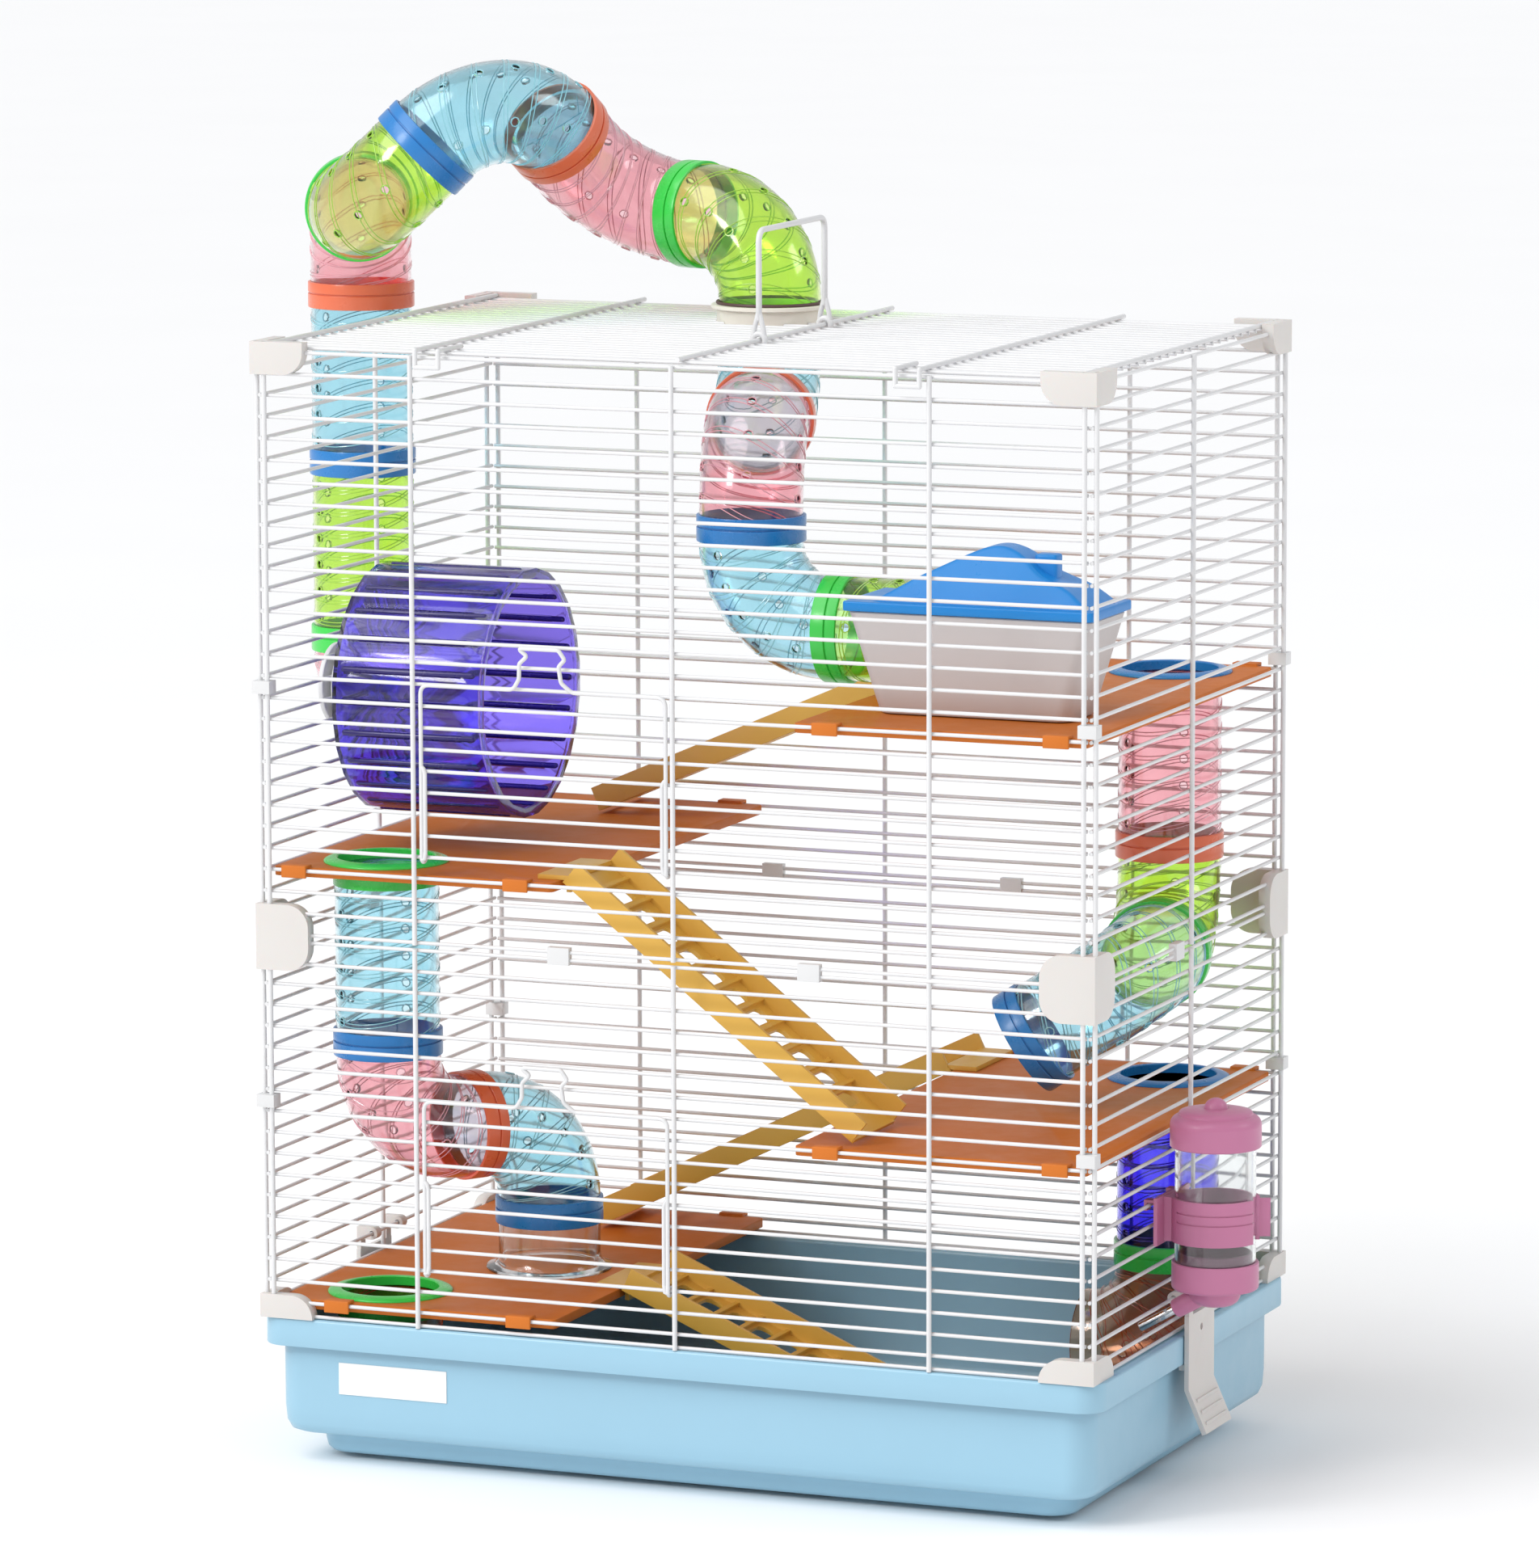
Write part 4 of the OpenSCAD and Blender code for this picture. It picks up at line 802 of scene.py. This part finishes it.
def build_lid():
    """Blue lid: flat rim, a hipped roof with a rounded peak off its middle, and a small block beside it."""
    lo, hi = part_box("house_lid")
    cx, cy = (lo.x + hi.x) / 2 / MM, (lo.y + hi.y) / 2 / MM
    w, d = (hi.x - lo.x) / MM, (hi.y - lo.y) / MM
    z0 = lo.z / MM
    rim_h = 5.0
    nx, ny = 108, 56

    def roof(x, y):
        """Height of the roof above the rim. The side slopes are steep and straight."""
        around = x + np.linspace(-3.0, 3.0, 7)
        ridge = float(np.mean(np.interp(around, ROOF_X, ROOF_Z)))
        sides = 2.0 * (25.5 - abs(y))
        return max(0.0, float(smooth_min(ridge, sides, 3.0)) - rim_h)

    def spot(i, j, inset, corner):
        """A grid point from the middle, drawn in by inset, with the outline's corners rounded."""
        x = (w * i / nx - w / 2) * (w / 2 - inset) / (w / 2)
        y = (d * j / ny - d / 2) * (d / 2 - inset) / (d / 2)
        ex, ey = w / 2 - inset - corner, d / 2 - inset - corner
        dx, dy = abs(x) - ex, abs(y) - ey
        if dx > 0 and dy > 0:
            shift = max(dx, dy) / math.hypot(dx, dy)
            x = math.copysign(ex + dx * shift, x)
            y = math.copysign(ey + dy * shift, y)
        return x, y

    border = [(i, 0) for i in range(nx + 1)] + [(nx, j) for j in range(1, ny + 1)]
    border += [(nx - i, ny) for i in range(1, nx + 1)] + [(0, ny - j) for j in range(1, ny)]
    grid = {(i, j): j * (nx + 1) + i for j in range(ny + 1) for i in range(nx + 1)}
    verts = []
    for i, j in grid:
        x, y = spot(i, j, 0.6, 1.4)
        verts.append(np.array([cx + x, cy + y, z0 + rim_h + roof(x, y)]) * MM)
    faces = [(grid[(i, j)], grid[(i + 1, j)], grid[(i + 1, j + 1)], grid[(i, j + 1)])
             for i in range(nx) for j in range(ny)]
    rows = [[grid[step] for step in border]]
    for inset, z in ((0.15, rim_h - 0.25), (0, rim_h - 0.8), (0, 0.6), (0.2, 0.15), (0.8, 0.0), (3.0, 0.0)):
        rows.append(list(range(len(verts), len(verts) + len(border))))
        for i, j in border:
            x, y = spot(i, j, inset, 2.0)
            verts.append(np.array([cx + x, cy + y, z0 + z]) * MM)
    for a, b in zip(rows, rows[1:]):
        for k in range(len(a)):
            m = (k + 1) % len(a)
            faces.append((a[k], a[m], b[m], b[k]))
    faces.append(tuple(rows[-1]))
    block = [rounded_ring(cx + 33.5, cy, 12.0 - c, 10.0 - c, 1.6, z0 + z, 4)
             for c, z in ((0.0, 11.0), (0.0, 29.3), (0.5, 30.1), (1.8, 30.5))]
    add_piece("house_lid_look", *merged([(verts, faces), loft(block)]), M["lid"], ["house_lid"], 50.0)


# ---------- bottle ----------
# Slope of the drinking tube, and how far along it the middle of the CAD tube is from the nozzle's axis.
SPOUT_SLOPE = 30.0
SPOUT_MIDDLE = 25.1


def build_bottle():
    """Clear body, domed cap, stepped nozzle with its socket, a dark ring of painted shade inside the body at
    the nozzle, and steel drinking tube.
    """
    lo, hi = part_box("bottle_body")
    middle = centre("bottle_body")
    base = (middle[0], middle[1], 0.0)
    z0, z1 = lo.z / MM, hi.z / MM
    r = (hi.x - lo.x) / 2 / MM
    seat, bore = r + 0.06, r - 1.5
    body = [(bore, z0 + 0.4), (r - 1.2, z0), (r - 0.3, z0), (r, z0 + 0.4), (r, z1 - 0.4), (r - 0.3, z1),
            (r - 1.2, z1), (bore, z1 - 0.4)]
    add_piece("bottle_body_look", *lathe(body, base, UP, 72), M["tube_clear"], ["bottle_body"])

    lo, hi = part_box("bottle_cap")
    c0, c1 = lo.z / MM, hi.z / MM
    cap = [(seat, c0), (23.2, c0), (23.7, c0 + 0.5), (23.7, c0 + 11.5), *arc(18.7, c0 + 11.5, 5.0, 0, 75, 6),
           (19.3, c0 + 16.6), (19.1, c0 + 17.0), (19.0, c0 + 17.9), (18.4, c0 + 18.5), (15.0, c0 + 19.3),
           (10.0, c0 + 19.9), (6.7, c0 + 20.1), *arc(0.0, c1 - 6.3, 6.3, 8, 86, 7), (0.0, c1),
           (0.0, c0 + 15.0), (bore, c0 + 14.0), (bore, c0 + 7.05), (seat, c0 + 7.05)]
    add_piece("bottle_cap_look", *lathe(cap, base, UP, 72), M["mauve"], ["bottle_cap"])

    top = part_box("bottle_nozzle")[1].z / MM
    neck = [(seat, top), (22.2, top), (22.6, top - 0.5), (22.6, top - 12.4),
            *arc(20.6, top - 12.6, 2.0, 0, -70, 4), (15.5, top - 15.0), (13.6, top - 15.6),
            *arc(6.5, top - 16.4, 7.0, 0, -78, 5), (0.0, top - 23.5), (0.0, top - 9.0),
            (bore, top - 9.0), (bore, top - 6.6), (seat, top - 6.6)]
    angle = math.radians(SPOUT_SLOPE)
    slope = np.array([-math.cos(angle), 0.0, -math.sin(angle)])
    start = centre("bottle_spout") - slope * SPOUT_MIDDLE * MM
    socket = [(2.45, 3.5), (2.45, 24.7), (4.3, 25.0), (4.9, 24.5), (5.1, 23.4), (5.3, 2.0), (4.8, -1.0),
              (0.0, -2.0), (0.0, 3.5)]
    parts = [lathe(neck, base, UP, 72), lathe(socket, start, slope, 40)]
    add_piece("bottle_nozzle_look", *merged(parts), M["mauve"], ["bottle_nozzle"])
    # A dark ring inside the clear body at the nozzle: painted shade.
    shade_band = [(r - 1.6, top - 6.0), (r - 1.6, top + 4.6), (r - 2.0, top + 5.0), (r - 2.8, top + 5.0),
              (r - 2.8, top - 6.0)]
    add_piece("bottle_nozzle_shade_band", *lathe(shade_band, base, UP, 72), M["shade_mauve"], ["bottle_nozzle"])
    spout = [(1.7, 3.1), (2.3, 3.1), (2.4, 3.4), (2.4, 46.6), *arc(2.05, 46.8, 0.35, 0, 180, 4), (1.7, 46.6)]
    add_piece("bottle_spout_look", *lathe(spout, start, slope, 40), M["steel"], ["bottle_spout"])


# ---------- flanges ----------
def build_flanges():
    """The top flange with its dark seal, the wall flange, and the clear funnel on the lower left shelf."""
    lo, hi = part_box("top_flange")
    origin = (*centre("top_flange")[:2], 0.0)
    h0, h1 = lo.z / MM, hi.z / MM
    neck = h1 - 2.3
    profile = [(BORE_R, h0), (28.3, h0), (28.5, h0 + 0.3), (28.5, neck), (31.0, neck), (31.5, neck + 0.4),
               (31.5, neck + 2.0), (31.0, h1 - 0.1), (BORE_R + 0.3, h1), (BORE_R, h1 - 0.4)]
    add_piece("top_flange_look", *lathe(profile, origin, UP, 72), M["cream"], ["top_flange"])
    seal = arc(BORE_R + 0.9, h1 + 0.9, 0.85, 0, 324, 9)
    add_piece("top_flange_seal", *lathe(seal, origin, UP, 72), M["seal"], ["top_flange"])
    softened("wall_flange", "wall_flange_look", M["cream"], 0.4, 40.0, 2)

    lo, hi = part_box("floor_funnel")
    origin = (*centre("floor_funnel")[:2], 0.0)
    f0, f1 = lo.z / MM, hi.z / MM
    bore = TUBE_R - TUBE_WALL
    profile = [(bore, f1), (TUBE_R, f1), (TUBE_R, f0 + 9), (TUBE_R + 0.7, f0 + 5), (TUBE_R + 2.2, f0 + 2.8),
               (33.6, f0 + 1.6), (34.0, f0 + 1.0), (33.6, f0), (bore + 1.0, f0), (bore, f0 + 1.2)]
    add_piece("floor_funnel_look", *lathe(profile, origin, UP, 72), M["tube_clear"], ["floor_funnel"])


# ---------- wire pieces that move ----------
def build_door(node):
    """Door frame of bent wire with a finger loop, hairpin eyes at the hinge and cross wires."""
    lo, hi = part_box(node)
    wire = 1.1
    xl, xr = lo.x / MM + wire, hi.x / MM - wire
    height, loop_h = 90.4, 22
    zt = hi.z / MM - loop_h - wire
    zh = zt - height
    # The plane of the bars, the hinge wire behind it, and the middle and half width of the finger loop.
    front, hinge_y = -149.4, -146.9
    eye_r = hinge_y - front
    lx, half = -69.0, 12.0

    def p(x, y, z):
        return np.array([x, y, z]) * MM

    loop = [
        p(lx - half - 5, front, zt), p(lx - half - 1, front - 1.5, zt + 6),
        p(lx - half - 0.5, front - 2.2, zt + 14), p(lx - half + 3.5, front - 1.2, zt + 18),
        p(lx - half - 1.5, front - 2.2, zt + loop_h), p(lx + half - 2.5, front - 2.2, zt + loop_h),
        p(lx + half + 0.5, front - 1.2, zt + 17),
        p(lx + half - 2.5, front - 2.2, zt + 13.5), p(lx + half - 1.5, front - 1.5, zt + 5),
        p(lx + half + 4, front, zt),
    ]
    frame_line = [p(xl, front, zh + 45), p(xl, front, zt), *loop, p(xr, front, zt), p(xr, front, zh + 45)]
    corners = [c * MM for c in (5.0, 5.0, 4.0, 2.5, 1.5, 2.5, 2.5, 1.5, 2.5, 4.0, 5.0, 5.0)]
    lines = [filleted(frame_line, corners)]
    for x, way in ((xl, 1), (xr, -1)):
        eye = [p(x, hinge_y - eye_r * math.cos(a), zh - eye_r * math.sin(a))
               for a in np.linspace(0, math.pi * 1.15, 12)]
        twin = x + way * 2.1
        lines.append([p(x, front, zh + 45), p(x, front, zh + 1)] + eye)
        lines.append([p(twin, front, zh + 44), p(twin, front, zh + 20), p(twin, front, zh + 3)])
        lines.append([p(twin, front, zh + 3), p(x + way * 1.6, front, zh - 0.6), p(x, front, zh - 1.0)])
        lines.append([p(twin, front, zh + 44), p(x + way * 1.4, front, zh + 46.5), p(x, front, zh + 48)])
    parts = [pipe(line, wire * MM, 12) for line in lines]
    y = front + wire + 0.8
    gaps = 8
    for i in range(1, gaps):
        z = zh + height / gaps * i
        parts.append(pipe([p(xl - wire, y, z), p((xl + xr) / 2, y, z), p(xr + wire, y, z)], 1.0 * MM, 12))
    add_piece(node + "_look", *merged(parts), M["wire"], [node])


def build_handle():
    """Bent wire handle. Each foot is an eye with two legs that close above it."""
    lo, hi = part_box("handle")
    r = 1.6
    eye_r = 3.4 * MM
    x = (lo.x + hi.x) / 2
    y0, y1 = lo.y + r * MM, hi.y - r * MM
    top = hi.z - r * MM
    eye_z = lo.z + (r + 3.3) * MM

    def p(dx, y, z):
        return np.array([x + dx, y, z])

    foot_top = eye_z + 0.011
    parts = [pipe(filleted([p(0, y0, foot_top), p(0, y0, top), p(0, y1, top), p(0, y1, foot_top)], 7 * MM, 8),
                  r * MM, 14)]
    for y in (y0, y1):
        ring = [p(eye_r * math.sin(a), y, eye_z - eye_r * math.cos(a))
                for a in np.linspace(0, 2 * math.pi, 24, endpoint=False)]
        parts.append(pipe(ring, r * MM, 12, True))
        for side in (-0.0033, 0.0033):
            leg = [p(side, y, eye_z), p(side * 0.75, y, eye_z + 0.006), p(side * 0.1, y, eye_z + 0.014)]
            parts.append(pipe(leg, 1.35 * MM, 12))
    add_piece("handle_look", *merged(parts), M["wire"], ["handle"])


# ---------- stage ----------
def build_stage():
    """White floor that fills the background, even white light all round, two lamps and a wide soft sun."""
    half = 30.0
    corners = [(-half, -half, 0), (half, -half, 0), (half, half, 0), (-half, half, 0)]
    mesh = new_mesh("floor", corners, [(0, 1, 2, 3)])
    floor = bpy.data.objects.new("floor", mesh)
    bpy.context.scene.collection.objects.link(floor)
    mat, bsdf, add, link = new_material("floor_white")
    cloud = noise(add, link, 3.0)
    link(ramp(add, link, cloud, [(0.3, (0.955, 0.955, 0.955)), (0.7, (0.965, 0.965, 0.965))]),
         bsdf.inputs["Base Color"])
    bsdf.inputs["Roughness"].default_value = 0.9
    mesh.materials.append(mat)
    scene = bpy.context.scene
    scene.view_settings.view_transform = "Standard"
    world = bpy.data.worlds.new("studio")
    scene.world = world
    world.use_nodes = True
    tree = world.node_tree
    seen = tree.nodes["Background"]
    seen.inputs["Color"].default_value = (1.0, 1.0, 1.0, 1.0)
    seen.inputs["Strength"].default_value = 1.0
    ambient = tree.nodes.new("ShaderNodeBackground")
    ambient.inputs["Color"].default_value = (0.97, 0.98, 1.0, 1.0)
    ambient.inputs["Strength"].default_value = 0.68
    path = tree.nodes.new("ShaderNodeLightPath")
    mix = tree.nodes.new("ShaderNodeMixShader")
    tree.links.new(path.outputs["Is Camera Ray"], mix.inputs["Fac"])
    tree.links.new(ambient.outputs["Background"], mix.inputs[1])
    tree.links.new(seen.outputs["Background"], mix.inputs[2])
    tree.links.new(mix.outputs["Shader"], tree.nodes["World Output"].inputs["Surface"])
    lamps = (
        ("key", "AREA", (-1.6, -2.6, 1.9), 0.8, 26.0),
        ("rim", "AREA", (2.4, 0.6, 1.8), 0.9, 9.0),
        ("sky", "SUN", (-0.9, -1.2, 2.2), math.radians(50), 1.45),
    )
    for name, kind, place_at, size, power in lamps:
        light = bpy.data.lights.new(name, kind)
        if kind == "SUN":
            light.angle = size
        else:
            light.size = size
        light.energy = power
        lamp = bpy.data.objects.new(name, light)
        lamp.location = place_at
        aim = Vector((0.0, 0.0, 0.35)) - Vector(place_at)
        lamp.rotation_euler = aim.to_track_quat("-Z", "Y").to_euler()
        scene.collection.objects.link(lamp)


def build_camera():
    """A long lens, low and from the front right, that has the whole object in the frame."""
    place_at = (1.67411, -4.12325, 1.02343)
    azimuth, elevation, roll = (math.radians(a) for a in (22.153, 8.557, -0.145))
    back = np.array([math.sin(azimuth) * math.cos(elevation), -math.cos(azimuth) * math.cos(elevation),
                     math.sin(elevation)])
    right = np.array([math.cos(azimuth), math.sin(azimuth), 0.0])
    up = np.cross(back, right)
    c, s = math.cos(roll), math.sin(roll)
    right, up = c * right + s * up, c * up - s * right
    data = bpy.data.cameras.new("camera")
    data.sensor_width = 36.0
    data.lens = 195.87
    data.clip_end = 100.0
    camera = bpy.data.objects.new("camera", data)
    rows = [(right[i], up[i], back[i], place_at[i]) for i in range(3)]
    camera.matrix_world = Matrix([*rows, (0, 0, 0, 1)])
    bpy.context.scene.collection.objects.link(camera)
    bpy.context.scene.camera = camera


keep(("front_upper", "front_lower", "back_upper", "back_lower", "left_upper", "left_lower", "right_upper",
      "right_lower", "top_panel"), M["wire"])
build_tray()
build_softened()
build_tubes()
build_collars()
build_rings()
build_wheel_slot_shade()
build_house()
build_lid()
build_bottle()
build_flanges()
build_door("door_upper")
build_door("door_lower")
build_handle()
build_stage()
build_camera()
